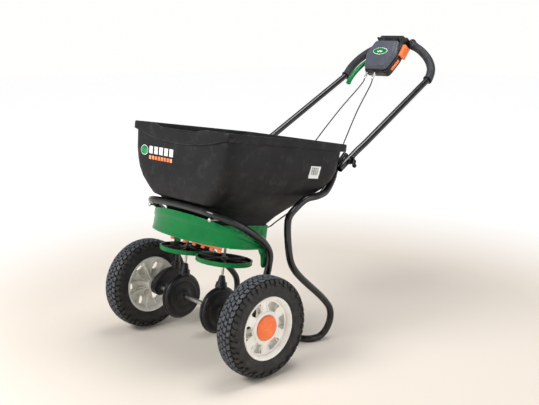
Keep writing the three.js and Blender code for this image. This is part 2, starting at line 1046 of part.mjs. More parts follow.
function shieldSlider() {
  const knob = box(71, 84, -96, -50, 26, 53.6);
  const rail = box(66, 72, -80, -54, 34, 44);
  return join(knob, rail);
}

function shutOffLever() {
  const route = [
    [-80, LEVER_PIVOT.y, LEVER_PIVOT.z],
    [-80, -150, 50],
    [-80, -190, 64],
    [-80, -226, 70],
    [-80, -240, 68],
  ];
  const arm = tube(smooth(route, 8), 8.5, 0, 10);
  const pin = rod("x", -85, -56, 5, LEVER_PIVOT.y, LEVER_PIVOT.z, 16);
  return join(arm, pin);
}

function ferrule(x) {
  return rod("y", -196, -164.5, 4.2, x, FERRULE_Z, 14);
}

// Control cables: an upper run from the console and a lower run behind the hopper.

function consolePoint(x, y, z) {
  return new THREE.Vector3(x, y, z).applyMatrix4(consoleMatrix()).toArray();
}

const CABLE_LEFT_UPPER = [
  consolePoint(FERRULE_LEFT, -197.6, FERRULE_Z),
  consolePoint(FERRULE_LEFT + 3, -205, FERRULE_Z - 1),
  ...[
    [76, 550, 656],
    [157, 410, 552],
    [170, 382, 522],
  ].map(leaning),
];
const CABLE_LEFT_LOWER = [
  [170.2, 380.6, 520.4],
  [164, 364, 486],
  [165, 354, 452],
  [170, 342, 424],
  [170, 324, 398],
  [166, 293, 368],
  [156, 262, 346],
  [142, 233, 324],
  [128, 206, 300],
  [112, 184, 276],
  [98, 170, 257],
  [CABLE_END_LEFT, 156, CABLE_END_Z],
  [CABLE_END_LEFT, 142, CABLE_END_Z],
].map(leaning);
const CABLE_RIGHT_UPPER = [
  consolePoint(FERRULE_RIGHT, -197.6, FERRULE_Z),
  consolePoint(FERRULE_RIGHT + 1, -205, FERRULE_Z - 1),
  ...[
    [4, 539, 654],
    [55, 388, 548],
    [64, 358, 522],
  ].map(leaning),
];
const CABLE_RIGHT_LOWER = [
  [64.3, 356.6, 520.4],
  [72, 346, 486],
  [77, 338, 452],
  [79, 326, 424],
  [77, 304, 396],
  [74, 268, 368],
  [68, 246, 340],
  [60, 218, 308],
  [48, 194, 280],
  [42, 174, 258],
  [CABLE_END_RIGHT, 156, CABLE_END_Z],
  [CABLE_END_RIGHT, 142, CABLE_END_Z],
].map(leaning);

function cable(route, steps) {
  return tube(smooth(route, steps), CABLE_R, 0, 6);
}

function frameBolt(side) {
  const head = rod("y", -126.4, -121.8, 6.2, 0, 0, 6);
  const shank = rod("y", -124, -86, 2.9, 0, 0, 10);
  return join(head, shank).translate(side * BOLT_X, 0, BOLT_Z);
}

// Assembly

place(leanGroup, "hopper", hopper(), HOPPER_BLACK);
place(leanGroup, "shroud", shroud(), GREEN);
place(leanGroup, "outlet_plate", outletPlate(), PLASTIC_BLACK);
place(leanGroup, "shut_off_gate", shutOffGate(), PLASTIC_BLACK);
place(leanGroup, "side_shield", sideShield(), ORANGE);
place(leanGroup, "front_tube", frontTube(), POWDER_BLACK);
place(floorGroup, "stand_foot", foot(), POWDER_BLACK);
place(floorGroup, "handle_bow", handleBow(), POWDER_BLACK);
place(floorGroup, "axle", axle(), ZINC);
place(consoleGroup, "console_base", consoleBase(), PLASTIC_BLACK);
place(consoleGroup, "console_cover", consoleCover(), CONSOLE_GREY);
place(consoleGroup, "console_badge", badge(), GREEN);
place(consoleGroup, "phone_rest", phoneRest(), PLASTIC_BLACK);
place(consoleGroup, "rate_dial", rateDial(), PLASTIC_BLACK);
place(consoleGroup, "side_shield_slider", shieldSlider(), ORANGE);
place(consoleGroup, "shut_off_lever", shutOffLever(), GREEN);
place(consoleGroup, "cable_ferrule_left", ferrule(FERRULE_LEFT), ZINC);
place(consoleGroup, "cable_ferrule_right", ferrule(FERRULE_RIGHT), ZINC);
place(floorGroup, "cable_left_upper", cable(CABLE_LEFT_UPPER, 9), CABLE_GREY);
place(floorGroup, "cable_left_lower", cable(CABLE_LEFT_LOWER, 19), CABLE_GREY);
place(floorGroup, "cable_right_upper", cable(CABLE_RIGHT_UPPER, 9), CABLE_GREY);
place(floorGroup, "cable_right_lower", cable(CABLE_RIGHT_LOWER, 18), CABLE_GREY);

for (const [name, side] of SIDES) {
  place(floorGroup, `leg_${name}`, leg(side), POWDER_BLACK);
  place(floorGroup, `handle_leg_${name}`, handleLeg(side), POWDER_BLACK);
  place(floorGroup, `foam_grip_${name}`, foamGrip(side), FOAM);
  place(floorGroup, `fold_bolt_${name}`, foldBolt(side), ZINC);
  place(floorGroup, `wing_knob_${name}`, wingKnob(side), PLASTIC_BLACK);
  place(leanGroup, `axle_bracket_${name}`, axleBracket(side), PLASTIC_BLACK);
  place(leanGroup, `axle_bush_${name}`, axleBush(side), PLASTIC_BLACK);
  place(leanGroup, `frame_bolt_${name}`, frameBolt(side), ZINC);
  place(leanGroup, `rotor_dish_${name}`, rotorDish(side), GREEN);
  place(leanGroup, `rotor_vanes_${name}`, rotorVanes(side), PLASTIC_BLACK);
  place(leanGroup, `rotor_shaft_${name}`, rotorShaft(side), ZINC);
  place(leanGroup, `agitator_${name}`, agitator(side), ZINC);
  place(leanGroup, `pinion_${name}`, pinion(side), PLASTIC_BLACK);
  place(leanGroup, `ring_gear_${name}`, ringGear(side), PLASTIC_BLACK);
  place(leanGroup, `gear_case_inner_${name}`, caseInner(side), PLASTIC_BLACK);
  place(leanGroup, `gear_case_outer_${name}`, caseOuter(side), PLASTIC_BLACK);
  place(floorGroup, `tyre_${name}`, tyre(side), RUBBER);
  place(floorGroup, `rim_${name}`, rim(side), RIM_GREY);
  place(floorGroup, `hub_cap_${name}`, hubCap(side), ORANGE);
}

// The origin is the middle of the outer box, on the floor.
spreader.updateMatrixWorld(true);
const extent = new THREE.Box3().setFromObject(spreader, true);
spreader.position.y = -(extent.min.y + extent.max.y) / 2;

export default spreader;
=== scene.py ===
"""Walk-behind granule spreader: the looks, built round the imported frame.

Shapes are drawn in millimetres in a local frame (floor, leaning body, console, wheel) and then
moved into the row frame, which is in metres.
"""

import math
import random

import bmesh
import bpy
from mathutils import Matrix, Vector


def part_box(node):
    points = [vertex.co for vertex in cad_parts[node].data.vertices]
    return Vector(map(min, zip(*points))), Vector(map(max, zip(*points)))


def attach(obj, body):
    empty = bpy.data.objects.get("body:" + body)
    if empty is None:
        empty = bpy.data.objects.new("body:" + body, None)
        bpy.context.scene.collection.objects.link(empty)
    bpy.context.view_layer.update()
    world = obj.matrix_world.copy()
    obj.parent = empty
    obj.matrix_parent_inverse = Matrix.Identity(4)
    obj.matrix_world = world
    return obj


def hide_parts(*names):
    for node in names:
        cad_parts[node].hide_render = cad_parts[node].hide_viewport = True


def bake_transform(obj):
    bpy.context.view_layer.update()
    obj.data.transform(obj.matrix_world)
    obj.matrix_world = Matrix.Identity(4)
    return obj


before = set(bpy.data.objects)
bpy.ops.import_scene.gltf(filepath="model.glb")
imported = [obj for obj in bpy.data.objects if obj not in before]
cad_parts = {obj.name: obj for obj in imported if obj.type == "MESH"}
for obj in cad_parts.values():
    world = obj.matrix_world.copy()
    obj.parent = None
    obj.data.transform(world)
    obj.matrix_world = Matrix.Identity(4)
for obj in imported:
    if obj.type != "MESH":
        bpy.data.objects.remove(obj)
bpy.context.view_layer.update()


def shift(x=0.0, y=0.0, z=0.0):
    return Matrix.Translation((x, y, z))


def turn(axis, angle):
    return Matrix.Rotation(angle, 4, axis)


# Local frames
LEAN = math.radians(9.09)
SLOPE = math.radians(53)
WHEEL_R = 150
tyre_low, tyre_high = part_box("tyre_left")
AXLE_Y = (tyre_low.y + tyre_high.y) / 2
HALF_TRACK = (tyre_low.x + tyre_high.x) / 2 * 1000
FLOOR = shift(0, AXLE_Y, 0) @ Matrix.Scale(0.001, 4)
BODY = FLOOR @ shift(0, 0, WHEEL_R) @ turn("X", -LEAN)
CONSOLE_Y = 973
CONSOLE_Z = 940
CONSOLE = FLOOR @ shift(0, CONSOLE_Y, CONSOLE_Z) @ turn("X", SLOPE)
MIRROR = Matrix.Scale(-1, 4, (1, 0, 0))
Z_TO_X = turn("Y", math.radians(90))
PLAN_TO_SIDE = Matrix(((0, 0, 1, 0), (1, 0, 0, 0), (0, 1, 0, 0), (0, 0, 0, 1)))
SIDES = [("left", 1), ("right", -1)]

# Driving dimensions, as in the frame
TUBE_R = 11.1
TUBE_WALL = 1.6
AXLE_R = 7.5
AXLE_HALF = 296
RIM_R = 94
CAP_R = 37
ROTOR_X = 91.2
ROTOR_R = 87.3
ROTOR_TOP = 161
ROTOR_FLOOR = 148
SHAFT_R = 4
CASE_R = 73
CASE_IN = 79
CASE_MID = 94
CASE_OUT = 108
HOPPER_FLOOR = 262
WALL = 3
PORT_X = 60
PORT_HALF = 22
PORT_FRONT = -58
PORT_REAR = -32
OUTLET_LOW = 256
GATE_LOW = 250
SHIELD_LOW = 205
GATE_TRAVEL = 26
SHIELD_TRAVEL = 46
SHROUD_LOW = 213
BASE_BACK = 22
CLAMP_BACK = -16
BASE_FACE = 54
BADGE_TOP = BASE_FACE + 19.5
BADGE_Y = -94
FERRULE_Z = 46
FERRULE_END = -197.6
FERRULES = {"left": -2, "right": -38}
FOLD_Y = 376
FOLD_Z = 489
HANDLE_X = 208
GRIP_R = 15
GRIP_END = 66
LEG_X = 184.4
LEVER_X = -80
LEVER_Y = -116
LEVER_Z = 34
DIAL_Y = -92


def side_frame(base, side):
    return base @ MIRROR if side < 0 else base


def wheel_frame(side):
    hub = shift(side * HALF_TRACK, 0, WHEEL_R)
    return side_frame(FLOOR @ hub, side)


def leaning(x, y, z):
    """A point of the leaning body in floor coordinates."""
    p = turn("X", -LEAN) @ Vector((x, y, z))
    return (p.x, p.y, p.z + WHEEL_R)


def console_point(x, y, z):
    """A point of the console in floor coordinates."""
    p = turn("X", SLOPE) @ Vector((x, y, z))
    return (p.x, p.y + CONSOLE_Y, p.z + CONSOLE_Z)


# Camera, lights and floor

CAMERA_PLACE = (1.8964, AXLE_Y - 1.4934, 0.9849)
CAMERA_LENS = 53.83
CAMERA_DIP = 12.09
CAMERA_TURN = 46.59


def linked(name, data):
    """A new object in the scene, made from a camera, light, mesh or curve."""
    obj = bpy.data.objects.new(name, data)
    bpy.context.scene.collection.objects.link(obj)
    return obj


def add_camera():
    data = bpy.data.cameras.new("camera")
    data.sensor_width = 36
    data.lens = CAMERA_LENS
    camera = linked("camera", data)
    camera.location = CAMERA_PLACE
    camera.rotation_euler = (math.radians(90 - CAMERA_DIP), 0, math.radians(CAMERA_TURN))
    bpy.context.scene.camera = camera


def add_area(name, location, target, size, power):
    data = bpy.data.lights.new(name, "AREA")
    data.shape = "DISK"
    data.size = size
    data.energy = power
    light = linked(name, data)
    light.location = location
    toward = Vector(target) - Vector(location)
    light.rotation_euler = toward.to_track_quat("-Z", "Y").to_euler()


def add_world():
    """White round the horizon and dimmer overhead, so dark parts keep their contrast."""
    world = bpy.data.worlds.new("studio")
    world.use_nodes = True
    tree = world.node_tree
    background = tree.nodes["Background"]
    direction = tree.nodes.new("ShaderNodeTexCoord").outputs["Generated"]
    split = add_node(tree, "SeparateXYZ", Vector=direction)
    height = map_range(tree, split.outputs["Z"], 0.12, 0.5, 0, 1)
    sky = mix(tree, height, (1.0, 0.995, 0.985), (0.3, 0.31, 0.33))
    tree.links.new(sky, background.inputs["Color"])
    background.inputs["Strength"].default_value = 1.0
    bpy.context.scene.world = world


def add_floor():
    bm = bmesh.new()
    bmesh.ops.create_grid(bm, x_segments=2, y_segments=2, size=14)
    mesh = bpy.data.meshes.new("floor")
    bm.to_mesh(mesh)
    bm.free()
    floor = linked("floor", mesh)
    material, tree, shader = new_material("studio_floor", 0.9, 0.0)
    radius = distance_from(tree, (0, 0, 0))
    fade = map_range(tree, radius, 1.0, 2.2, 0, 1)
    pale = mix(tree, fade, (0.8, 0.72, 0.63), (0.93, 0.92, 0.9))
    tree.links.new(pale, shader.inputs["Base Color"])
    far = map_range(tree, radius, 0.9, 2.6, 0, 0.62)
    tree.links.new(far, shader.inputs["Emission Strength"])
    shader.inputs["Emission Color"].default_value = (1, 0.995, 0.985, 1)
    mesh.materials.append(material)


# Materials


def new_material(name, roughness, metallic):
    material = bpy.data.materials.new(name)
    material.use_nodes = True
    shader = material.node_tree.nodes["Principled BSDF"]
    shader.inputs["Roughness"].default_value = roughness
    shader.inputs["Metallic"].default_value = metallic
    return material, material.node_tree, shader


def object_coords(tree):
    return tree.nodes.new("ShaderNodeTexCoord").outputs["Object"]


def add_node(tree, kind, operation=None, **inputs):
    """A node whose inputs are sockets to link or values to set."""
    node = tree.nodes.new("ShaderNode" + kind)
    if operation:
        node.operation = operation
    for name, value in inputs.items():
        socket = node.inputs[name.replace("_", " ")]
        if isinstance(value, bpy.types.NodeSocket):
            tree.links.new(value, socket)
        else:
            socket.default_value = value
    return node


def noise(tree, scale, detail=3.0, stretch=(1, 1, 1), rough=0.5):
    place = add_node(tree, "Mapping", Scale=stretch, Vector=object_coords(tree)).outputs["Vector"]
    values = {"Scale": scale, "Detail": detail, "Roughness": rough}
    return add_node(tree, "TexNoise", **values, Vector=place).outputs["Fac"]


def map_range(tree, value, low, high, to_low, to_high):
    ends = {"From_Min": low, "From_Max": high, "To_Min": to_low, "To_Max": to_high}
    return add_node(tree, "MapRange", **ends, Value=value).outputs["Result"]


def multiply(tree, a, b):
    node = add_node(tree, "Math", "MULTIPLY")
    tree.links.new(a, node.inputs[0])
    tree.links.new(b, node.inputs[1])
    return node.outputs[0]


def distance_from(tree, centre, along=(1, 1, 1)):
    """How far a point is from the centre, over the directions given by along."""
    node = add_node(tree, "VectorMath", "MULTIPLY_ADD")
    tree.links.new(object_coords(tree), node.inputs[0])
    node.inputs[1].default_value = along
    node.inputs[2].default_value = [-c for c in centre]
    length = add_node(tree, "VectorMath", "LENGTH")
    tree.links.new(node.outputs[0], length.inputs[0])
    return length.outputs["Value"]


def mix(tree, factor, a, b):
    """A colour between a and b; each is a colour or a socket."""
    node = tree.nodes.new("ShaderNodeMix")
    node.data_type = "RGBA"
    tree.links.new(factor, node.inputs["Factor"])
    for socket, value in ((node.inputs[6], a), (node.inputs[7], b)):
        if isinstance(value, tuple):
            socket.default_value = (*value, 1)
        else:
            tree.links.new(value, socket)
    return node.outputs[2]


def shade(color, amount):
    return tuple(min(1.0, c * amount) for c in color)


def bump(tree, shader, height, strength, depth):
    values = {"Strength": strength, "Distance": depth, "Height": height}
    tree.links.new(add_node(tree, "Bump", **values).outputs["Normal"], shader.inputs["Normal"])


def surface(
    name, slot, color, roughness, metallic=0.0, mottle=(0.12, 16), grain=(0.25, 900),
    grain_depth=0.0003, stretch=(1, 1, 1), dust=None, dust_scale=30, wear=None, specular=0.5,
    coat=0.0,
):
    """A procedural material: mottled colour, dust, edge wear, uneven gloss and a fine grain.

    mottle and grain are (strength, scale) and dust is (colour, amount).
    """
    material, tree, shader = new_material(name, roughness, metallic)
    shader.inputs["Specular IOR Level"].default_value = specular
    shader.inputs["Coat Weight"].default_value = coat
    shader.inputs["Coat Roughness"].default_value = 0.18
    uneven, patch_scale = mottle
    patches = map_range(tree, noise(tree, patch_scale, 4), 0.32, 0.68, 0, 1)
    result = mix(tree, patches, shade(color, 1 - uneven), shade(color, 1 + uneven))
    if dust:
        dust_color, amount = dust
        specks = noise(tree, dust_scale, 8, rough=0.7)
        result = mix(tree, map_range(tree, specks, 0.52, 0.7, 0, amount), result, dust_color)
    if wear:
        edges = tree.nodes.new("ShaderNodeNewGeometry").outputs["Pointiness"]
        edges = map_range(tree, edges, 0.53, 0.62, 0, 1)
        scuffs = map_range(tree, noise(tree, 60, 6), 0.42, 0.62, 0, 1)
        result = mix(tree, multiply(tree, edges, scuffs), result, wear)
    tree.links.new(result, shader.inputs["Base Color"])
    gloss = noise(tree, patch_scale * 2.3, 5, stretch)
    gloss = map_range(tree, gloss, 0.3, 0.7, roughness - 0.08, roughness + 0.08)
    tree.links.new(gloss, shader.inputs["Roughness"])
    strength, fine = grain
    bump(tree, shader, noise(tree, fine, 2, stretch), strength, grain_depth)
    material["slot"] = slot
    return material


def tread_scuffs_and_sheen(material):
    """Pale blue-grey on the block tops, which are the outermost part of the tyre: partly real scuffs
    and partly a painted bluish highlight.
    """
    tree = material.node_tree
    shader = tree.nodes["Principled BSDF"]
    colour = shader.inputs["Base Color"]
    base = colour.links[0].from_socket
    radius = distance_from(tree, (0, AXLE_Y, WHEEL_R / 1000), (0, 1, 1))
    # The block tops are mixed towards a pale blue-grey that is partly real scuffs and partly a painted
    # highlight of the sky.
    top = map_range(tree, radius, 0.1425, 0.1485, 0, 1)
    scuffs = map_range(tree, noise(tree, 130, 6, rough=0.7), 0.36, 0.66, 0.1, 0.95)
    pale = mix(tree, multiply(tree, top, scuffs), base, (0.11, 0.122, 0.148))
    tree.links.new(pale, colour)


DUST = (0.42, 0.38, 0.32)
HOPPER = surface(
    "hopper_textured_plastic", "hopper_plastic", (0.0065, 0.0063, 0.007), 0.5,
    wear=(0.07, 0.065, 0.06), specular=0.22, mottle=(0.22, 6), grain=(0.5, 650), dust=(DUST, 0.05),
)
GREEN = surface(
    "green_moulded_plastic", "green_plastic", (0.0, 0.165, 0.036), 0.3, wear=(0.04, 0.3, 0.11),
    specular=0.16, coat=0.08, mottle=(0.1, 11), grain=(0.12, 240), dust=(DUST, 0.03),
)
ORANGE = surface(
    "orange_moulded_plastic", "orange_plastic", (1.0, 0.19, 0.045), 0.4, wear=(0.95, 0.42, 0.2),
    mottle=(0.08, 40), grain=(0.2, 500), dust=((0.35, 0.24, 0.18), 0.08),
)
POWDER = surface(
    "black_powder_coat", "powder_coat", (0.004, 0.004, 0.005), 0.2, coat=0.3, specular=0.35,
    mottle=(0.2, 20), grain=(0.22, 420), dust=(DUST, 0.03),
)
BLACK = surface(
    "black_moulded_plastic", "black_plastic", (0.006, 0.006, 0.0068), 0.36, wear=(0.1, 0.1, 0.1),
    specular=0.4, mottle=(0.25, 25), grain=(0.25, 600), dust=(DUST, 0.07),
)
COVER = surface(
    "console_grey_plastic", "console_plastic", (0.068, 0.075, 0.094), 0.36,
    wear=(0.12, 0.125, 0.14), mottle=(0.08, 30), grain=(0.35, 900),
)
RUBBER = surface(
    "tyre_rubber", "tyre_rubber", (0.0125, 0.0115, 0.0105), 0.66, mottle=(0.3, 30),
    grain=(0.6, 420), grain_depth=0.0005, dust=((0.2, 0.17, 0.14), 0.16), dust_scale=42,
)
tread_scuffs_and_sheen(RUBBER)
RIM = surface(
    "rim_warm_grey_plastic", "rim_plastic", (0.88, 0.86, 0.8), 0.4, wear=(0.72, 0.7, 0.62),
    mottle=(0.07, 22), grain=(0.2, 500), dust=((0.2, 0.165, 0.12), 0.2), dust_scale=26,
)
ZINC = surface(
    "zinc_plated_steel", "zinc", (0.6, 0.58, 0.54), 0.34, metallic=1.0, stretch=(0.05, 1, 1),
    mottle=(0.2, 60), grain=(0.3, 300), dust=((0.2, 0.14, 0.09), 0.4), dust_scale=70,
)
FOAM = surface(
    "grip_foam", "grip_foam", (0.014, 0.016, 0.02), 0.6, mottle=(0.2, 50), grain=(0.9, 1300),
    grain_depth=0.0006, dust=(DUST, 0.05),
)
JACKET = surface(
    "cable_jacket", "cable_jacket", (0.022, 0.023, 0.026), 0.4, mottle=(0.15, 60), grain=(0.1, 800),
)
WHITE = surface(
    "pale_print", "black_plastic", (0.74, 0.75, 0.73), 0.45, mottle=(0.05, 40), grain=(0.1, 900),
)

# Mesh helpers


def spline(points, per=6):
    """A centripetal Catmull-Rom curve through the points, the ends included."""
    p = [Vector(q) for q in points]
    p = [2 * p[0] - p[1], *p, 2 * p[-1] - p[-2]]
    out = []
    for a, b, c, d in zip(p, p[1:], p[2:], p[3:]):
        t = [max((b - a).length ** 0.5, 1e-3)]
        t += [max((c - b).length ** 0.5, 1e-3), max((d - c).length ** 0.5, 1e-3)]
        m1 = ((b - a) / t[0] - (c - a) / (t[0] + t[1]) + (c - b) / t[1]) * t[1]
        m2 = ((c - b) / t[1] - (d - b) / (t[1] + t[2]) + (d - c) / t[2]) * t[1]
        for i in range(per):
            s = i / per
            cubic = (2 * b - 2 * c + m1 + m2) * s**3
            out.append(cubic + (3 * c - 3 * b - 2 * m1 - m2) * s**2 + m1 * s + b)
    return [*out, p[-2]]


def rounded(points, radius, steps=4, closed=True):
    """The polyline with each corner replaced by a small curve."""
    p = [Vector(q) for q in points]
    n = len(p)
    out = []
    for i, corner in enumerate(p):
        if not closed and i in (0, n - 1):
            out.append(corner)
            continue
        before = p[i - 1] - corner
        after = p[(i + 1) % n] - corner
        r = min(radius, 0.45 * before.length, 0.45 * after.length)
        start = corner + before.normalized() * r
        end = corner + after.normalized() * r
        for k in range(steps + 1):
            s = k / steps
            out.append(start * (1 - s) ** 2 + corner * 2 * s * (1 - s) + end * s * s)
    return out


def stitch(bm, low, high):
    """A closed band of faces between two rings of points."""
    for i in range(len(low)):
        j = (i + 1) % len(low)
        bm.faces.new((low[i], low[j], high[j], high[i]))


def mirrored(half):
    """The half outline followed by its mirror image, in which x becomes -x."""
    return [*half, *[(-x, y) for x, y in reversed(half)]]


def smooth_loop(outline):
    """A closed curve through flat points."""
    return spline([(x, y, 0) for x, y in [*outline, outline[0]]], 4)[:-1]


def loft(sections, wrap=False, caps=True):
    """A skin over sections with the same number of points each."""
    bm = bmesh.new()
    rings = [[bm.verts.new(p) for p in section] for section in sections]
    if wrap:
        rings.append(rings[0])
    for low, high in zip(rings, rings[1:]):
        stitch(bm, low, high)
    if caps and not wrap:
        bm.faces.new(rings[0])
        bm.faces.new(rings[-1])
    return bm


def moving_frames(path):
    """Two directions across the path at each point, turning as little as possible."""
    ahead = [(b - a).normalized() for a, b in zip(path, path[1:])]
    tangents = [ahead[0]]
    tangents += [(a + b).normalized() for a, b in zip(ahead, ahead[1:])]
    tangents.append(ahead[-1])
    up = Vector((0, 0, 1)) if abs(tangents[0].z) < 0.9 else Vector((1, 0, 0))
    across = tangents[0].cross(up).normalized()
    frames = []
    for t in tangents:
        across = (across - t * across.dot(t)).normalized()
        frames.append((across, t.cross(across)))
    return frames


def polar(radius, angle):
    return Vector((radius * math.cos(angle), radius * math.sin(angle), 0))


def turns(count):
    """Angles evenly round a circle."""
    return [2 * math.pi * i / count for i in range(count)]


def circle(centre, frame_axes, radius, sides, flat=1.0):
    a, b = frame_axes
    c, s = radius, radius * flat
    return [centre + a * (c * math.cos(t)) + b * (s * math.sin(t)) for t in turns(sides)]


def sweep(path, radius, sides=24, flat=1.0):
    """A solid rod along the path; radius may be a list with one value for each point."""
    path = [Vector(p) for p in path]
    radii = radius if isinstance(radius, list) else [radius] * len(path)
    axes = moving_frames(path)
    return loft([circle(p, f, r, sides, flat) for p, f, r in zip(path, axes, radii)])


def open_tube(path, radius=TUBE_R, wall=TUBE_WALL, depth=40, sides=24):
    """A tube with open ends that are hollow for a short way in."""
    path = [Vector(p) for p in path]
    axes = moving_frames(path)
    starts = (path[0], (path[1] - path[0]).normalized(), axes[0])
    ends = (path[-1], (path[-2] - path[-1]).normalized(), axes[-1])

    def mouth(end):
        point, inward, f = end
        deep = circle(point + inward * depth, f, radius - wall, sides)
        lip = circle(point, f, radius - wall, sides)
        edge = circle(point, f, radius - 0.4, sides)
        return [deep, lip, edge]

    inner = path[1:-1]
    body = [circle(p, f, radius, sides) for p, f in zip(inner, axes[1:-1])]
    first = circle(starts[0] + starts[1] * 0.4, axes[0], radius, sides)
    last = circle(ends[0] + ends[1] * 0.4, axes[-1], radius, sides)
    return loft([*mouth(starts), first, *body, last, *reversed(mouth(ends))])


def turned(profile, segments=64, fillet=0.0, closed=True):
    """A profile of (radius, height) pairs turned about Z."""
    points = [(r, 0, z) for r, z in profile]
    if fillet:
        points = rounded(points, fillet, 3, closed)
    sections = []
    for p in points:
        x, z = p[0], p[2]
        sections.append([(x * math.cos(a), x * math.sin(a), z) for a in turns(segments)])
    bm = loft(sections, wrap=closed, caps=False)
    bmesh.ops.remove_doubles(bm, verts=bm.verts, dist=1e-4)
    bmesh.ops.dissolve_degenerate(bm, edges=bm.edges, dist=1e-5)
    return bm


def moved(bm, matrix):
    bmesh.ops.transform(bm, matrix=matrix, verts=bm.verts)
    return bm


def shifted(bm, x=0.0, y=0.0, z=0.0):
    return moved(bm, shift(x, y, z))


def turned_on_x(profile, segments=64, fillet=0.0, closed=True):
    """The same profile turned about X; the second number runs along X."""
    return moved(turned(profile, segments, fillet, closed), Z_TO_X)


def plate(outline, low, high, holes=()):
    """A flat plate between two heights, with holes through it."""
    data = bpy.data.curves.new("outline", "CURVE")
    data.dimensions = "2D"
    data.fill_mode = "BOTH"
    data.extrude = (high - low) / 2
    for points in (outline, *holes):
        line = data.splines.new("POLY")
        line.points.add(len(points) - 1)
        for target, p in zip(line.points, points):
            target.co = (p[0], p[1], 0, 1)
        line.use_cyclic_u = True
    holder = linked("outline", data)
    graph = bpy.context.evaluated_depsgraph_get()
    mesh = bpy.data.meshes.new_from_object(holder.evaluated_get(graph))
    bm = bmesh.new()
    bm.from_mesh(mesh)
    bpy.data.objects.remove(holder)
    bpy.data.curves.remove(data)
    bpy.data.meshes.remove(mesh)
    bmesh.ops.remove_doubles(bm, verts=bm.verts, dist=1e-3)
    return shifted(bm, z=(low + high) / 2)


def block(x0, x1, y0, y1, z0, z1, corner=2.0):
    """A block with corners rounded in plan."""
    return plate(rectangle(x0, x1, y0, y1, corner), z0, z1)


def disc(radius, count=32, x=0.0, y=0.0):
    return [(x + radius * math.cos(a), y + radius * math.sin(a), 0) for a in turns(count)]


def rectangle(x0, x1, y0, y1, corner=3.0):
    return rounded([(x0, y0, 0), (x1, y0, 0), (x1, y1, 0), (x0, y1, 0)], corner, 3)


def joined(*parts):
    """Several shells in one mesh."""
    whole = bmesh.new()
    for part in parts:
        mesh = bpy.data.meshes.new("part")
        bmesh.ops.recalc_face_normals(part, faces=part.faces)
        part.to_mesh(mesh)
        part.free()
        whole.from_mesh(mesh)
        bpy.data.meshes.remove(mesh)
    return whole


def piece(name, bm, matrix, body, material, nodes=(), bevel=0.0, sharp=38):
    """Makes an object of the mesh, on its body and with its finish."""
    if isinstance(bm, (list, tuple)):
        bm = joined(*bm)
    moved(bm, matrix)
    bmesh.ops.recalc_face_normals(bm, faces=bm.faces)
    mesh = bpy.data.meshes.new(name)
    bm.to_mesh(mesh)
    bm.free()
    mesh.shade_smooth()
    mesh.materials.append(material)
    obj = linked(name, mesh)
    if bevel:
        edge = obj.modifiers.new("edges", "BEVEL")
        edge.width = bevel / 1000
        edge.segments = 2
        edge.limit_method = "ANGLE"
        edge.angle_limit = math.radians(sharp)
        obj.modifiers.new("normals", "WEIGHTED_NORMAL")
    else:
        mesh.set_sharp_from_angle(angle=math.radians(sharp))
    if body:
        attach(obj, body)
    if nodes:
        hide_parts(*nodes)
    return obj


# Hopper

# Height, half width, front, rear and corner radius of each level.
HOPPER_SECTIONS = [
    (262, 107, 88, 151, 20), (290, 118, 94, 184, 28), (318, 145, 104, 211, 38),
    (326, 154, 126, 219, 40), (346, 175, 134, 237, 42), (373, 200, 141, 264, 42),
    (400, 216, 144, 295, 40), (426, 224, 146, 315, 38), (457, 229, 148, 325, 35),
    (519, 232, 150, 330, 32),
]
LIP = (238, 157, 346, 27)
# Height and inward step of each level of the rim, from the outside over the top.
RIM_LEVELS = [
    (518.5, 4.6), (517.4, 1.6), (518.4, 0.4), (521, 0), (536.5, 0), (539.6, 0.8), (541, 2.6),
    (541, 7), (539.5, 9), (535, 10),
]
APRON_DEPTH = 27.5
APRON_HALF = 215
NOTCH_HALF = 100
NOTCH_DEPTH = 9
MARK_X = -166
MARK_Z = 455


def level_at(z):
    """Half width, front, rear and corner radius of the hopper at a height."""
    for low, high in zip(HOPPER_SECTIONS, HOPPER_SECTIONS[1:]):
        if z <= high[0]:
            t = (z - low[0]) / (high[0] - low[0])
            return tuple(a + (b - a) * t for a, b in zip(low[1:], high[1:]))
    return HOPPER_SECTIONS[-1][1:]


def rounded_ring(z, level, inward=0.0, corner=8, along=18):
    """A rounded rectangle at one height, with points spaced along its straight sides."""
    half, front, rear, radius = (v - inward for v in level)
    radius = max(radius, 3)
    x, low, high = half - radius, radius - front, rear - radius
    corners = []
    for quarter, (cx, cy) in enumerate([(x, high), (-x, high), (-x, low), (x, low)]):
        arc = [math.pi / 2 * (quarter + i / (corner - 1)) for i in range(corner)]
        centre = Vector((cx, cy, z))
        corners.append([centre + polar(radius, a) for a in arc])
    ring = []
    for arc, following in zip(corners, [*corners[1:], corners[0]]):
        ring += arc
        gap = following[0] - arc[-1]
        ring += [arc[-1] + gap * (i / (along + 1)) for i in range(1, along + 1)]
    return ring


def with_notch(ring, level):
    """Lowers the middle of the front lip, where the granules are poured out."""
    out = []
    for p in ring:
        t = (NOTCH_HALF + 6 - abs(p.x)) / 12
        depth = NOTCH_DEPTH * max(0, min(1, t))
        front = p.y < -level[1] + 14
        out.append(Vector((p.x, p.y, p.z - depth)) if front else p)
    return out


def with_apron(ring, level):
    """Drops the lower edge of the lip in a long swoop across the front."""
    out = []
    for p in ring:
        t = max(0.0, 1 - abs(p.x) / APRON_HALF)
        swoop = APRON_DEPTH * (1 - (1 - t) ** 2.2)
        front = max(0.0, min(1.0, (-level[1] + 22 - p.y) / 18))
        out.append(Vector((p.x, p.y, p.z - swoop * front)))
    return out


def hopper_skin():
    """Outer wall, rolled rim and inner wall in one closed skin."""
    heights = [p.x for p in spline([s[:3] for s in HOPPER_SECTIONS], 4)]
    outer = [rounded_ring(z, level_at(z)) for z in heights]
    rim = []
    for z, inward in RIM_LEVELS:
        ring = rounded_ring(z, LIP, inward)
        rim.append(with_notch(ring, LIP) if z > 530 else with_apron(ring, LIP))
    inner = [rounded_ring(z, level_at(z), WALL) for z in reversed(heights)]
    return loft([*outer, *rim, *inner], wrap=True)


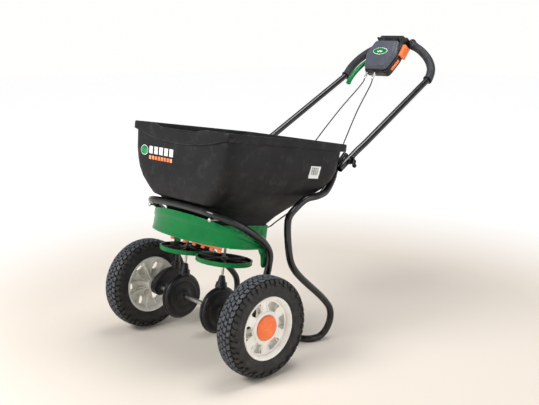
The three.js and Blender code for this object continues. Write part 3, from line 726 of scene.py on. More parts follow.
def port_hole(side, offset=0.0):
    x = side * PORT_X
    return rectangle(x - PORT_HALF, x + PORT_HALF, PORT_FRONT + offset, PORT_REAR + offset)


def port_holes(offset=0.0):
    return [port_hole(side, offset) for side in (1, -1)]


def shaft_holes(radius=6):
    return [disc(radius, 24, side * ROTOR_X) for side in (1, -1)]


def hopper_floor():
    outline = rounded_ring(0, (105.5, 86.5, 149.5, 19), along=1)
    holes = [*port_holes(), *shaft_holes()]
    return plate(outline, HOPPER_FLOOR + 0.2, HOPPER_FLOOR + 3.2, holes)


def on_front(x, z, proud):
    """A point just in front of the hopper's front wall."""
    return Vector((x, -level_at(z)[1] - proud, z))


def on_side(y, z, proud):
    """A point just outside the hopper's left wall."""
    return Vector((level_at(z)[0] + proud, y, z))


def sticker(place, outline, thick=0.5):
    """A thin print that follows the wall; place turns (across, up, proud) into a point."""
    bm = bmesh.new()
    top = [bm.verts.new(place(u, v, thick)) for u, v in outline]
    low = [bm.verts.new(place(u, v, 0.05)) for u, v in outline]
    bm.faces.new(top)
    bm.faces.new(list(reversed(low)))
    stitch(bm, low, top)
    bmesh.ops.triangulate(bm, faces=bm.faces)
    return bm


def oval(cx, cz, a, b, count=36):
    return [(cx + a * math.cos(t), cz + b * math.sin(t)) for t in turns(count)]


def bar(x0, x1, z0, z1):
    return [(x0, z0), (x1, z0), (x1, z1), (x0, z1)]


def add_front_marks():
    """Plain bars and an oval where a hopper has its print."""
    badge = sticker(on_front, oval(MARK_X, MARK_Z, 19, 15.5), 0.5)
    piece("hopper_mark_border", badge, BODY, "chassis", WHITE)
    badge = sticker(on_front, oval(MARK_X, MARK_Z, 17, 13.6), 0.8)
    piece("hopper_mark", badge, BODY, "chassis", GREEN)
    for name, count, start, width, pitch, low, high, material in (
        ("hopper_mark_bars", 5, -141, 18.5, 25.5, 447, 470, WHITE),
        ("hopper_mark_underline", 8, -140, 11, 15, 430, 441, ORANGE),
    ):
        places = [start + pitch * i for i in range(count)]
        marks = [sticker(on_front, bar(x, x + width, low, high), 0.5) for x in places]
        piece(name, marks, BODY, "chassis", material)


def add_side_label():
    label = [
        sticker(on_side, bar(184 + 1.2 * i, 228 + 1.2 * i, z, top), 0.6)
        for i, (z, top) in enumerate(((428, 440), (440, 457), (457, 466)))
    ]
    piece("hopper_label", label, BODY, "chassis", WHITE)
    lines = [
        sticker(on_side, bar(x, x + w, z, top), 0.9)
        for x, w in ((192, 2), (196, 1.2), (200, 3), (205, 1.4), (209, 2.4), (214, 1.2), (218, 2))
        for z, top in ((439, 456.5), (457.5, 462))
    ]
    piece("hopper_label_lines", lines, BODY, "chassis", BLACK)


def add_hopper():
    piece("hopper_shell", hopper_skin(), BODY, "chassis", HOPPER, ["hopper"], sharp=60)
    piece("hopper_base_plate", hopper_floor(), BODY, "chassis", HOPPER, bevel=0.5)
    add_front_marks()
    add_side_label()


# Shroud

SHROUD_HALF = 212
SHROUD_FRONT = 122
SHROUD_REAR = 56
COLLAR = (111, 98, 158, 16)


def deck_outline(grow=0.0, steps=22):
    """The D of the deck: straight rear, sides, and a curved front."""
    w = SHROUD_HALF + grow
    f = -SHROUD_FRONT - grow
    a, b, c, d = (Vector(p) for p in ((w, -20, 0), (w - 5, -84, 0), (120, f, 0), (0, f, 0)))
    half = []
    for i in range(steps + 1):
        s = i / steps
        r = 1 - s
        half.append(a * r**3 + b * 3 * r * r * s + c * 3 * r * s * s + d * s**3)
    other = [Vector((-p.x, p.y, 0)) for p in reversed(half[:-1])]
    rear = SHROUD_REAR + grow
    left = [Vector((w, rear - (rear + 20) * i / 6, 0)) for i in range(6)]
    right = [Vector((-w, -20 + (rear + 20) * (i + 1) / 6, 0)) for i in range(6)]
    back = [Vector((-w + 2 * w * i / 20, rear, 0)) for i in range(1, 20)]
    return [*left, *half, *other, *right, *back]


def fascia_top(y):
    return max(SHROUD_LOW + 12, min(289, 289 - 0.45 * (y + SHROUD_FRONT)))


def fascia_ring(grow, share, drop=0.0):
    """A level of the fascia: share 0 is the bottom edge and 1 the top edge."""
    base = deck_outline()
    level = []
    for p, q in zip(base, deck_outline(grow)):
        z = SHROUD_LOW + (fascia_top(p.y) - SHROUD_LOW) * share - drop
        level.append(Vector((q.x, q.y, z)))
    return level


def fascia():
    """The curved skirt: growth, share of the height and drop of each level."""
    levels = [
        (3.2, 0, 3), (3.6, 0, 1.6), (3.0, 0, -2), (0.6, 0.1, 0), (0.2, 0.16, 0), (-0.6, 0.4, 0),
        (-1.8, 0.62, 0), (-1.2, 0.66, 0), (1.2, 0.72, 0), (1.4, 0.78, 0), (0.6, 0.98, 0), (0, 1, 0),
        (-2.4, 1, 0), (-3, 0.98, 0), (-4.6, 0.6, 0), (-3, 0.1, 0), (0.6, 0, 3),
    ]
    return loft([fascia_ring(*level) for level in levels], wrap=True)


def collar():
    bands = [(213, 0), (262, 0), (263, 1), (263, 3), (262, 4), (213, 4)]
    return loft([rounded_ring(z, COLLAR, i, 6, 4) for z, i in bands], wrap=True)


def fin(side):
    """The upright bracket below the deck, beside the front tube."""
    outline = [(26, 215), (58, 215), (58, 156), (50, 152), (42, 160), (38, 188), (26, 204)]
    flat = plate(rounded([(y, z, 0) for y, z in outline], 6, 4), 0, 3.4)
    upright = shifted(moved(flat, PLAN_TO_SIDE), SHROUD_HALF - 4)
    return moved(upright, MIRROR) if side < 0 else upright


def deck_ribs():
    """Stiffening ribs under the deck, between collar and fascia."""
    low, high = SHROUD_LOW - 7, SHROUD_LOW + 1
    return [block(x - 1.2, x + 1.2, -58, 50, low, high, 0.5) for x in (-176, -150, 150, 176)]


def add_shroud():
    hole = rounded_ring(0, COLLAR, 3.5, 6, 4)
    deck = plate(deck_outline(-1), SHROUD_LOW, SHROUD_LOW + 3, [hole])
    shells = [fascia(), deck, collar(), *(fin(s) for s in (1, -1)), *deck_ribs()]
    piece("shroud_shell", shells, BODY, "chassis", GREEN, ["shroud"], sharp=32)


def outlet_plate():
    outline = rounded_ring(0, (106.5, 93.5, 153.5, 14), along=1)
    return plate(outline, OUTLET_LOW, OUTLET_LOW + 4, [*port_holes(), *shaft_holes()])


def gate_blade():
    """The sliding plate with two windows, a slot for each rotor shaft and a tab for the cable."""
    slots = [rectangle(s * ROTOR_X - 7, s * ROTOR_X + 7, -52, 14, 6) for s in (1, -1)]
    holes = [*port_holes(-GATE_TRAVEL), *slots]
    blade = plate(rectangle(-105, 105, -93, 100, 6), GATE_LOW, GATE_LOW + 3, holes)
    tab = block(32, 48, 90, 112, GATE_LOW - 14, GATE_LOW + 1)
    low, high = GATE_LOW - 2.5, GATE_LOW + 0.5
    return [blade, tab, *(block(x - 1, x + 1, -20, 92, low, high, 0.4) for x in (-60, 0, 60))]


def side_shield():
    """The orange plate: slid across it closes one port, and its long window spares the other."""
    start = PORT_X - PORT_HALF - SHIELD_TRAVEL
    window = rectangle(start, PORT_X + PORT_HALF, PORT_FRONT, PORT_REAR)
    outline = rectangle(-104, 150, -66, -22, 4)
    shield = plate(outline, SHIELD_LOW, SHIELD_LOW + 3, [port_hole(-1), window])
    lip = block(-104, 150, -68, -64, SHIELD_LOW - 9, SHIELD_LOW + 3, 1.5)
    low, high = SHIELD_LOW - 17, SHIELD_LOW - 7
    teeth = (block(x - 7, x + 7, -69, -63, low, high, 2) for x in (-88, -24, 22, 64, 104, 140))
    return [shield, lip, *teeth]


def add_metering():
    nodes = ["outlet_plate"]
    piece("outlet_plate_shell", outlet_plate(), BODY, "chassis", BLACK, nodes, bevel=0.6)
    piece("gate_blade", gate_blade(), BODY, "gate", BLACK, ["shut_off_gate"], 0.5)
    nodes = ["side_shield"]
    piece("side_shield_blade", side_shield(), BODY, "side_shield", ORANGE, nodes, 0.6)


# Rotors and their drive


def rotor_dish(side):
    z = ROTOR_FLOOR
    profile = [
        (11, z), (60, z), (64, z - 1.2), (ROTOR_R - 2.2, z - 1.2), (ROTOR_R - 0.2, z + 1),
        (ROTOR_R - 0.6, z + 8), (ROTOR_R + 0.2, z + 11), (ROTOR_R, ROTOR_TOP),
        (ROTOR_R - 2.6, ROTOR_TOP), (ROTOR_R - 3, z + 2.4), (11, z + 2.4),
    ]
    return shifted(turned(profile, 96, 0.7), side * ROTOR_X)


def rotor_vanes(side):
    z = ROTOR_FLOOR + 2.8
    hub = [
        (SHAFT_R + 0.1, z - 6), (10.4, z - 6), (10.4, z), (83.8, z), (83.8, ROTOR_TOP - 0.5),
        (82.4, ROTOR_TOP - 0.5), (82, z + 1.8), (16, z + 1.8), (12, z + 4), (10, z + 14),
        (SHAFT_R + 0.1, z + 14),
    ]
    shells = [turned(hub, 64, 0.8)]
    for i in range(6):
        bend = spline([(10, 0, 0), (34, 2 * side, 0), (58, 7 * side, 0), (80, 15 * side, 0)], 5)
        left = [p + Vector((0, 1.1, 0)) for p in bend]
        right = [p - Vector((0, 1.1, 0)) for p in reversed(bend)]
        vane = plate([*right, *left], z + 0.5, z + 9)
        shells.append(moved(vane, turn("Z", math.pi / 3 * i + 0.26)))
    return shifted(joined(*shells), side * ROTOR_X)


def rotor_shaft(side):
    profile = [(0, 30), (SHAFT_R - 0.6, 30), (SHAFT_R, 30.8), (SHAFT_R, 299), (0, 300)]
    return shifted(turned(profile, 32, closed=False), side * ROTOR_X)


def agitator(side):
    hub = turned([(4.1, 272), (8, 272), (8, 286), (4.1, 286)], 32, 0.8)
    arm = sweep(spline([(7, 0, 279), (11, 1, 280), (15, 0, 281)], 3), 2.4, 12)
    other = moved(arm.copy(), turn("Z", math.pi))
    return shifted(joined(hub, arm, other), side * ROTOR_X)


NECK = [
    (SHAFT_R + 0.4, 68), (18, 68), (18.5, 73), (17.5, 78), (15.5, 79.5), (15.5, 82), (13.4, 84),
    (13.4, 87), (12, 89), (12, 92), (10.6, 94), (10.6, 97), (9.4, 99), (9.4, 103), (8, 106),
    (SHAFT_R + 0.4, 106),
]


def case_face(out):
    """Stepped face of the gear case; out is +1 for the outer half and -1 for the inner."""
    face = CASE_OUT if out > 0 else CASE_IN

    def at(x):
        return face + out * x

    return [
        (AXLE_R + 0.5, at(10)), (18, at(10)), (20.5, at(8.5)), (21, at(4)), (25, at(2.5)),
        (27, at(0.6)), (44, at(-0.4)), (46, at(0.8)), (49, at(0.8)), (51, at(-0.8)), (63, at(-1.6)),
        (66, at(-3)), (CASE_R - 4, at(-5)), (CASE_R - 3, at(-7)),
        (CASE_R - 3, CASE_MID + out * 3.2), (CASE_R + 0.6, CASE_MID + out * 2.6),
        (CASE_R + 0.6, CASE_MID + out * 0.3), (CASE_R - 6, CASE_MID + out * 0.3),
        (CASE_R - 7, at(-8)), (30, at(-4)), (AXLE_R + 0.5, at(-4)),
    ]


def case_half(out):
    shells = [turned_on_x(case_face(out), 96, 0.7)]
    for i in range(6):
        place = polar(CASE_R - 4.5, math.pi / 3 * i + 0.4)
        boss = turned([(0, 0), (4, 0), (4, 3), (2.6, 4.2), (0, 4.2)], 16, 0.4, False)
        lay = shift(CASE_MID + out * 2, place.x, place.y) @ Z_TO_X
        if out < 0:
            lay = lay @ turn("X", math.pi)
        shells.append(moved(boss, lay))
    neck = shifted(turned(NECK, 48, 0.5), ROTOR_X)
    cutting = neck.verts[:] + neck.edges[:] + neck.faces[:]
    bmesh.ops.bisect_plane(
        neck, geom=cutting, plane_co=(CASE_MID + out * 0.15, 0, 0), plane_no=(-out, 0, 0),
        clear_outer=True,
    )
    bmesh.ops.holes_fill(neck, edges=neck.edges, sides=0)
    shells.append(neck)
    for x in (ROTOR_X - 8, ROTOR_X + 8):
        if (x - CASE_MID) * out > 0:
            shells.append(block(x - 1, x + 1, -15, 15, 66, 86, 1))
    return joined(*shells)


def add_drive():
    profile = [(0, -AXLE_HALF), (AXLE_R - 0.8, -AXLE_HALF), (AXLE_R, -AXLE_HALF + 0.8)]
    profile += [(r, -x) for r, x in reversed(profile)]
    axle = turned_on_x(profile, 48, closed=False)
    lift = FLOOR @ shift(0, 0, WHEEL_R)
    piece("axle_rod", axle, lift, "drive_axle", ZINC, ["axle"])
    for name, side in SIDES:
        body = f"rotor_{name}"
        near = side_frame(BODY, side)
        piece(f"dish_{name}", rotor_dish(side), BODY, body, GREEN, [f"rotor_dish_{name}"])
        piece(f"vanes_{name}", rotor_vanes(side), BODY, body, BLACK, [f"rotor_vanes_{name}"])
        piece(f"shaft_{name}", rotor_shaft(side), BODY, body, ZINC, [f"rotor_shaft_{name}"])
        piece(f"stirrer_{name}", agitator(side), BODY, body, ZINC, [f"agitator_{name}"])
        for out, half in ((1, "outer"), (-1, "inner")):
            nodes = [f"gear_case_{half}_{name}"]
            piece(f"case_{half}_{name}", case_half(out), near, "chassis", BLACK, nodes, sharp=30)


# Wheels

CARCASS = [
    (94.6, -28), (97, -32), (103, -34.6), (104.2, -35.4), (106, -35.2), (115, -36), (117, -36.4),
    (122, -36), (130, -34.2), (137, -30), (140.6, -23), (142.8, -14), (143.5, 0),
]
BLOCKS_ROUND = 48
# Each row of blocks: start and end along the curve of the tread from its middle, phase, depth,
# and width and skew as shares of the pitch. Every other block of the last row is shorter.
INNER_ROW = (0.9, 11.6, 0.0, 6.4, 0.78, 0.22)
MIDDLE_ROW = (13.4, 24.6, 0.5, 6.4, 0.78, -0.2)
SHOULDER_ROW = (26.4, 44.0, 0.0, 5.8, 0.7, 0.22)
SHOULDER_STEP = 7


def crown_curve():
    """Points (radius, across) from the middle of the tread down to the sidewall."""
    half = [p for p in CARCASS if p[0] >= 117]
    return [(r, -x) for r, x in reversed(half)]


def on_crown(distance, proud):
    """(radius, across) at a distance along the crown curve, lifted off it."""
    curve = crown_curve()
    left = distance
    for (r0, x0), (r1, x1) in zip(curve, curve[1:]):
        length = math.hypot(r1 - r0, x1 - x0)
        if left <= length:
            t = left / length
            nr, nx = (x1 - x0) / length, -(r1 - r0) / length
            return (r0 + (r1 - r0) * t + nr * proud, x0 + (x1 - x0) * t + nx * proud)
        left -= length
    return (curve[-1][0], curve[-1][1] + proud)


def tread_block(start, end, angle, width, hand, skew, depth):
    """One rubber block; hand is the side of the tread and skew slants its ends."""
    steps = 3 if end - start < 13 else 5
    bm = bmesh.new()
    levels = []
    for proud, shrink in ((-2.0, 1.0), (depth * 0.8, 0.96), (depth, 0.86)):
        rim_points = []
        middle = (start + end) / 2
        for i in range(steps):
            d = start + (end - start) * i / (steps - 1)
            d = middle + (d - middle) * (shrink if proud > 0 else 1)
            r, x = on_crown(d, proud)
            lean = skew * (d - middle) / 12
            jog = 0.12 * width * (1 if i % 2 else -1)
            row = []
            for end_sign in (-1, 1):
                a = angle + end_sign * width / 2 * shrink + lean + jog
                row.append((x * hand, r * math.cos(a), r * math.sin(a)))
            rim_points.append(row)
        loop = [row[0] for row in rim_points] + [row[1] for row in reversed(rim_points)]
        levels.append([bm.verts.new(p) for p in loop])
    count = len(levels[0])
    for low, high in zip(levels, levels[1:]):
        stitch(bm, low, high)
    for ring in (levels[0], levels[-1]):
        for i in range(steps - 1):
            bm.faces.new((ring[i], ring[i + 1], ring[count - 2 - i], ring[count - 1 - i]))
    return bm


def tyre():
    profile = [*CARCASS, *[(r, -x) for r, x in reversed(CARCASS[:-1])]]
    shells = [turned_on_x(profile, 112)]
    rng = random.Random(7)
    pitch = 2 * math.pi / BLOCKS_ROUND
    for hand in (-1, 1):
        for row in (INNER_ROW, MIDDLE_ROW, SHOULDER_ROW):
            start, end, phase, depth, width, skew = row
            for i in range(BLOCKS_ROUND):
                angle = pitch * (i + phase + (0.5 if hand > 0 else 0))
                angle += rng.uniform(-0.02, 0.02) * pitch
                stop = end - (SHOULDER_STEP if row is SHOULDER_ROW and i % 2 else 0)
                size = (pitch * width, hand, pitch * skew * hand, depth)
                shells.append(tread_block(start, stop, angle, *size))
    return joined(*shells)


SPOKES = 6
SPOKE_TURN = 2 * math.pi / SPOKES


def rim_window(index):
    """A trapezoid opening with round corners, between two spokes."""
    middle = SPOKE_TURN * (index + 0.5)
    inner, outer = 50, 77
    a_in, a_out = math.radians(14), math.radians(18.5)
    corners = [polar(inner, middle - a_in), polar(inner + 1.5, middle), polar(inner, middle + a_in)]
    corners += [polar(outer, middle + a_out * (1 - 2 * i / 5)) for i in range(6)]
    return rounded(corners, 4.5, 4)


def dish_bulge(radius):
    """How far the wheel's face stands out at a radius."""
    knots = [(0, 16), (40, 16), (48, 14), (62, 10), (76, 12.5), (90, 14)]
    for (r0, x0), (r1, x1) in zip(knots, knots[1:]):
        if radius <= r1:
            t = (radius - r0) / (r1 - r0)
            t = t * t * (3 - 2 * t)
            return x0 + (x1 - x0) * t
    return knots[-1][1]


def rim_face():
    """The spoked face, dished after it is cut."""
    holes = [*(rim_window(i) for i in range(SPOKES)), disc(AXLE_R + 0.3, 32)]
    face = plate(disc(83, 96), -2.4, 2.4, holes)
    bmesh.ops.triangulate(face, faces=face.faces)
    long_edges = [e for e in face.edges if e.calc_length() > 9]
    bmesh.ops.subdivide_edges(face, edges=long_edges, cuts=3)
    bmesh.ops.triangulate(face, faces=face.faces)
    for v in face.verts:
        v.co.z += dish_bulge(math.hypot(v.co.x, v.co.y))
    return moved(face, Z_TO_X)


def rim():
    barrel = [
        (RIM_R - 0.2, -27), (RIM_R - 0.2, 27), (RIM_R + 0.6, 29), (RIM_R - 1.5, 31),
        (RIM_R - 5, 30.6), (RIM_R - 8, 27), (RIM_R - 12, 22), (RIM_R - 13.5, 12),
        (RIM_R - 13.5, -14), (RIM_R - 12, -22), (RIM_R - 8, -27), (RIM_R - 5, -30.6),
        (RIM_R - 1.5, -31), (RIM_R + 0.6, -29),
    ]
    hub = [
        (AXLE_R + 0.3, -34), (16, -34), (18, -32), (20, -8), (26, 4), (30, 13), (30, 16),
        (AXLE_R + 0.3, 16),
    ]
    boss = [(30, 15), (46, 14), (48, 16), (47, 19), (41, 20.5), (38.2, 20), (38, 17), (30, 17)]
    shells = [turned_on_x(barrel, 96, 1.2), turned_on_x(hub, 48, 1), rim_face()]
    shells.append(turned_on_x(boss, 64, 1))
    for i in range(SPOKES):
        for offset in (-0.235, 0.235):
            shells.append(inner_rib(SPOKE_TURN * i, offset))
        shells.append(spoke_web(SPOKE_TURN * i))
    return joined(*shells)


def inner_rib(angle, offset):
    """A curved rib behind a spoke's edge, from the hub to the barrel."""
    knots = [(19, 0), (42, 0.55), (62, 1), (81, 1.25)]
    path = spline([polar(r, angle + offset * share) for r, share in knots], 5)
    left, right, low = [], [], []
    for i, p in enumerate(path):
        ahead = (path[min(i + 1, len(path) - 1)] - path[max(i - 1, 0)]).normalized()
        across = Vector((-ahead.y, ahead.x, 0)) * 1.2
        left.append(p + across)
        right.append(p - across)
        low.append(-25 + 9 * math.sin(math.pi * i / (len(path) - 1)))
    sections = []
    for a, b, z in zip(left, right, low):
        r = math.hypot(a.x, a.y)
        top = dish_bulge(r) - 1.5
        sections.append([(a.x, a.y, z), (b.x, b.y, z), (b.x, b.y, top), (a.x, a.y, top)])
    return moved(loft(sections), Z_TO_X)


def spoke_web(angle):
    """The floor of the channel behind a spoke."""
    sections = []
    for r, half, z in ((18, 5, -20), (34, 8, -8), (52, 13, -3), (70, 19, -6), (81, 23, -14)):
        c, s = math.cos(angle), math.sin(angle)
        ring = []
        for u, w in ((-half, z), (half, z), (half, z + 2.4), (-half, z + 2.4)):
            ring.append((r * c - u * s, r * s + u * c, w))
        sections.append(ring)
    return moved(loft(sections), Z_TO_X)


def hub_cap():
    profile = [
        (0, 17), (CAP_R - 1, 17), (CAP_R, 18), (CAP_R, 22.5), (CAP_R - 1.4, 25), (CAP_R - 5, 27.2),
        (CAP_R - 8, 28), (CAP_R - 9.5, 29.6), (24, 30.6), (10, 31.6), (0, 31.8),
    ]
    shells = [turned_on_x(profile, 64, 1, closed=False)]
    for i in range(3):
        a = 2 * math.pi / 3 * i + 0.5
        mark = block(8, 20, -1.1, 1.1, 30.4, 31.7, 0.8)
        shells.append(moved(mark, Z_TO_X @ turn("Z", a)))
    return joined(*shells)


def add_wheels():
    for name, side in SIDES:
        body = "drive_axle" if side > 0 else "free_wheel"
        place = wheel_frame(side)
        piece(f"tyre_{name}_tread", tyre(), place, body, RUBBER, [f"tyre_{name}"], sharp=28)
        piece(f"rim_{name}_spoked", rim(), place, body, RIM, [f"rim_{name}"], sharp=32)
        piece(f"cap_{name}", hub_cap(), place, body, ORANGE, [f"hub_cap_{name}"])


def bracket():
    """The boomerang arm that holds the end of the front tube and the axle."""
    outline = [
        (-18, -19), (-6, -25), (8, -24), (20, -15), (45, 19), (78, 31), (80, 34), (80, 60),
        (76, 63), (44, 63), (20, 56), (-4, 40), (-22, 18), (-26, -4),
    ]
    hole = disc(13.8, 32)
    curve = smooth_loop(outline)
    arm = plate(curve, 204, 228, [hole])
    curve_in = [p * 0.93 + Vector((1.4, 1.2, 0)) for p in curve]
    rim_plates = [plate(curve_in, 201, 204.5, [hole]), plate(curve_in, 227.5, 231, [hole])]
    return moved(joined(arm, *rim_plates), PLAN_TO_SIDE)


def bush():
    profile = [
        (AXLE_R + 0.3, 197), (17, 197), (19, 198), (19, 200.6), (13, 200.6), (13, 232),
        (AXLE_R + 0.3, 232),
    ]
    return turned_on_x(profile, 48, 0.5)


def add_brackets():
    for name, side in SIDES:
        place = side_frame(BODY, side)
        socket = turned([(12.1, 62), (15, 62), (15, 84), (13, 86), (12.1, 86)], 40, 0.8)
        socket = shifted(socket, *FRONT_LOOP[0][:2])
        piece(
            f"bracket_{name}", [bracket(), socket], place, "chassis", BLACK,
            [f"axle_bracket_{name}"], bevel=1.0,
        )
        piece(f"bush_{name}", bush(), place, "chassis", BLACK, [f"axle_bush_{name}"])


# Frame tubes

FRONT_LOOP = [
    (216, 60, 50), (216, 60, 100), (223, 61, 160), (226, 56, 199), (225, 30, 231), (217, -12, 257),
    (201, -55, 280), (172, -98, 298), (137, -116, 304.5), (80, -117, 307),
]
LEG = [
    *(
        leaning(*p)
        for p in (
            (LEG_X, 392, 508), (LEG_X, FOLD_Y, FOLD_Z), (LEG_X, 349, 455), (192, 335, 432),
            (200, 314, 406), (209, 286, 385), (216, 244, 373), (212, 200, 362), (207, 166, 334),
            (211, 136, 306), (213, 132, 279), (217, 146, 203), (219, 161, 164), (222, 190, 131),
        )
    ),
    (228, 326, 139), (230, 352, 101), (229, 354, 66), (221, 340, 28), (214, 321, 12.2),
    (211.6, 304, TUBE_R), (209.9, 292, TUBE_R), (204, 281, TUBE_R), (188, 268, TUBE_R),
    (160, 262, TUBE_R), (100, 262, TUBE_R),
]
HANDLE = [
    *(
        leaning(*p)
        for p in (
            (HANDLE_X, 342, 460), (HANDLE_X, FOLD_Y, FOLD_Z), (HANDLE_X, 396, 505.5),
            (HANDLE_X, 414, 521), (HANDLE_X - 0.6, 452, 549),
        )
    ),
    (191.5, 886, 811.5), (191.3, 892, 815.2), (191, 899, 823), (188, 910, 838), (180, 921, 854),
    (166, 931, 871), (145, 941, 889), (112, 953, 909), (82, 962, 922), (52, 969, 932),
    (24, 972, 937),
]


def both_halves(half):
    return [*half, *[(-x, y, z) for x, y, z in reversed(half)]]


def handle_path():
    """Straight between the lower bend and the grips, curved elsewhere."""
    lower = spline(HANDLE[:5], 5)
    upper = spline(HANDLE[5:], 6)
    return [Vector(p) for p in both_halves([*lower, *upper])]


def add_tubes():
    loop = spline(both_halves(FRONT_LOOP), 6)
    piece("front_loop", open_tube(loop), BODY, "chassis", POWDER, ["front_tube"])
    stand = spline(both_halves(LEG), 5)
    nodes = ["leg_left", "leg_right", "stand_foot"]
    piece("stand_tube", open_tube(stand), FLOOR, "chassis", POWDER, nodes)
    nodes = ["handle_leg_left", "handle_leg_right", "handle_bow"]
    piece("handle_tube", open_tube(handle_path()), FLOOR, "handle", POWDER, nodes)


def grip():
    """The foam sleeve of the left grip, a little thicker at its two ends."""
    path = [p for p in spline(HANDLE[5:], 10) if p.x > GRIP_END]
    lengths = [0.0]
    for a, b in zip(path, path[1:]):
        lengths.append(lengths[-1] + (b - a).length)
    radii = []
    for at in lengths:
        edge = min(at, lengths[-1] - at)
        radii.append(GRIP_R + (1.5 if edge < 7 else 0) + (0.5 if 7 <= edge < 12 else 0))
    return sweep(path, radii, 32)


def add_grips():
    for name, side in SIDES:
        place = side_frame(FLOOR, side)
        piece(f"grip_{name}", grip(), place, "handle", FOAM, [f"foam_grip_{name}"])


# Fold joint


def fold_frame(side):
    return side_frame(BODY @ shift(0, FOLD_Y, FOLD_Z), side)


def hex_head(radius, low, high, matrix):
    corners = [polar(radius, math.pi / 3 * i) for i in range(6)]
    head = plate(corners, low, high)
    crown = radius * 0.7
    dome = turned([(0, high + 0.8), (crown, high), (crown, low), (0, low)], 24, 0.3, False)
    return moved(joined(head, dome), matrix)


def fold_bolt():
    inner = LEG_X - TUBE_R
    shank = [(0, inner - 1), (4, inner - 1), (4, 234), (3.2, 235), (0, 235)]
    shells = [turned_on_x(shank, 32, 0, False)]
    back = turn("Y", math.pi)
    shells.append(hex_head(8, 0.4, 5, shift(inner) @ Z_TO_X @ back))
    washer = [(4.2, inner + 22.6), (8.6, inner + 22.6), (8.6, inner + 24.2), (4.2, inner + 24.2)]
    shells.append(turned_on_x(washer, 32, 0.2))
    return joined(*shells)


WING = [(6, 2), (8, 6), (6.5, 14), (7, 19), (12, 21), (19, 19.5), (21, 13), (18, 6), (17, 2)]


def wing_knob():
    start = HANDLE_X + TUBE_R + 0.5
    boss = [(4.35, 0), (10.5, 0), (10.5, 3), (8.6, 6), (8.2, 19), (4.35, 19)]
    shells = [shifted(turned_on_x(boss, 40, 0.8), start)]
    for hand in (-1, 1):
        curve = smooth_loop([(x, y * hand) for x, y in WING])
        shells.append(shifted(plate(curve, -2.8, 2.8), start))
    return moved(joined(*shells), turn("X", -1.05))


def frame_bolt():
    """A domed bolt under the tube, in a boss of the shroud."""
    down = shift(147, -121.6, 286.6) @ turn("X", math.pi / 2)
    head = [(0, 0), (6.6, 0), (6.4, 1.6), (5, 3.6), (2.6, 4.9), (0, 5.2)]
    shank = turned([(0, -34), (2.9, -34), (2.9, 1), (0, 1)], 24, 0, False)
    return moved(joined(turned(head, 32, 0.5, False), shank), down)


def add_fasteners():
    for name, side in SIDES:
        place = fold_frame(side)
        steel = [f"fold_bolt_{name}"]
        piece(f"fold_bolt_{name}_steel", fold_bolt(), place, "handle", ZINC, steel)
        piece(
            f"wing_knob_{name}_grip", wing_knob(), place, f"wing_knob_{name}", BLACK,
            [f"wing_knob_{name}"], bevel=0.8,
        )
        piece(
            f"frame_bolt_{name}_steel", frame_bolt(), side_frame(BODY, side), "chassis", ZINC,
            [f"frame_bolt_{name}"],
        )


# Console

FACE = mirrored([(50, -40), (66, -88), (67, -98), (50, -156), (41, -162)])
BASE = mirrored([(54, -8), (54, -36), (70, -48), (70, -106), (54, -160), (46, -171)])


def grown(outline, amount):
    """The outline pulled in or pushed out about its middle."""
    cx = sum(p[0] for p in outline) / len(outline)
    cy = sum(p[1] for p in outline) / len(outline)
    out = []
    for x, y in outline:
        d = math.hypot(x - cx, y - cy)
        out.append(Vector((cx + (x - cx) * (d + amount) / d, cy + (y - cy) * (d + amount) / d, 0)))
    return out


def stacked(outline, levels, corner):
    """A solid whose outline shrinks or grows from level to level."""
    sections = []
    for z, amount in levels:
        ring = rounded(grown(outline, amount), corner, 5)
        sections.append([Vector((p.x, p.y, z)) for p in ring])
    return loft(sections)


def console_base():
    levels = [(BASE_BACK, -6), (24, -2), (27, -0.5), (46, 0), (50, -0.4), (53, -2), (BASE_FACE, -4)]
    shells = [stacked(BASE, levels, 7)]
    saddle = [(-50, -42), (50, -42), (50, 4), (-50, 4)]
    shells.append(stacked(saddle, [(CLAMP_BACK, -5), (CLAMP_BACK + 3, -1), (BASE_BACK + 1, 0)], 8))
    clamp = [(13, -58), (18, -57), (19, -55), (19, -48), (16, -46), (13, -46)]
    for side in (-1, 1):
        ring = turned_on_x([(r, side * -x + side * 8) for r, x in clamp], 40, 1)
        shells.append(shifted(ring, 0, -8, -1.6))
    return joined(*shells)


def console_cover():
    z = BASE_FACE + 0.4
    levels = [
        (z, -1.5), (z + 0.8, 0), (z + 7, 0), (z + 9, -0.6), (z + 15.5, -8), (z + 18, -10),
        (z + 19, -12.5),
    ]
    return stacked(FACE, levels, 8)


def badge_oval(half_width, half_height, low, high):
    outline = [(x, y, 0) for x, y in oval(0, 0, half_width, half_height, 56)]
    return shifted(plate(outline, BADGE_TOP + low, BADGE_TOP + high), 0, BADGE_Y)


def badge_mark():
    """Three plain leaves, drawn for this part."""
    shells = []
    for angle, reach in ((-0.9, 15), (0, 9), (0.9, 15)):
        widest = reach * 0.45
        leaf = [(0, 0, 0), (3.4, widest, 0), (0, reach, 0), (-3.4, widest, 0)]
        shape = rounded([Vector(p) for p in leaf], 4, 4)
        mark = plate(shape, BADGE_TOP + 1.5, BADGE_TOP + 2.2)
        mark = moved(mark, turn("Z", -angle * 1.4))
        shells.append(shifted(mark, 0, BADGE_Y - 5))
    return shells


# Height, half thickness and outward lean of the levels of each horn.
HORN = [(0, 4.6, 0), (5, 4.2, 0), (10, 3.2, 0.8), (14, 1.8, 1.8), (15.4, 0.9, 2.2)]


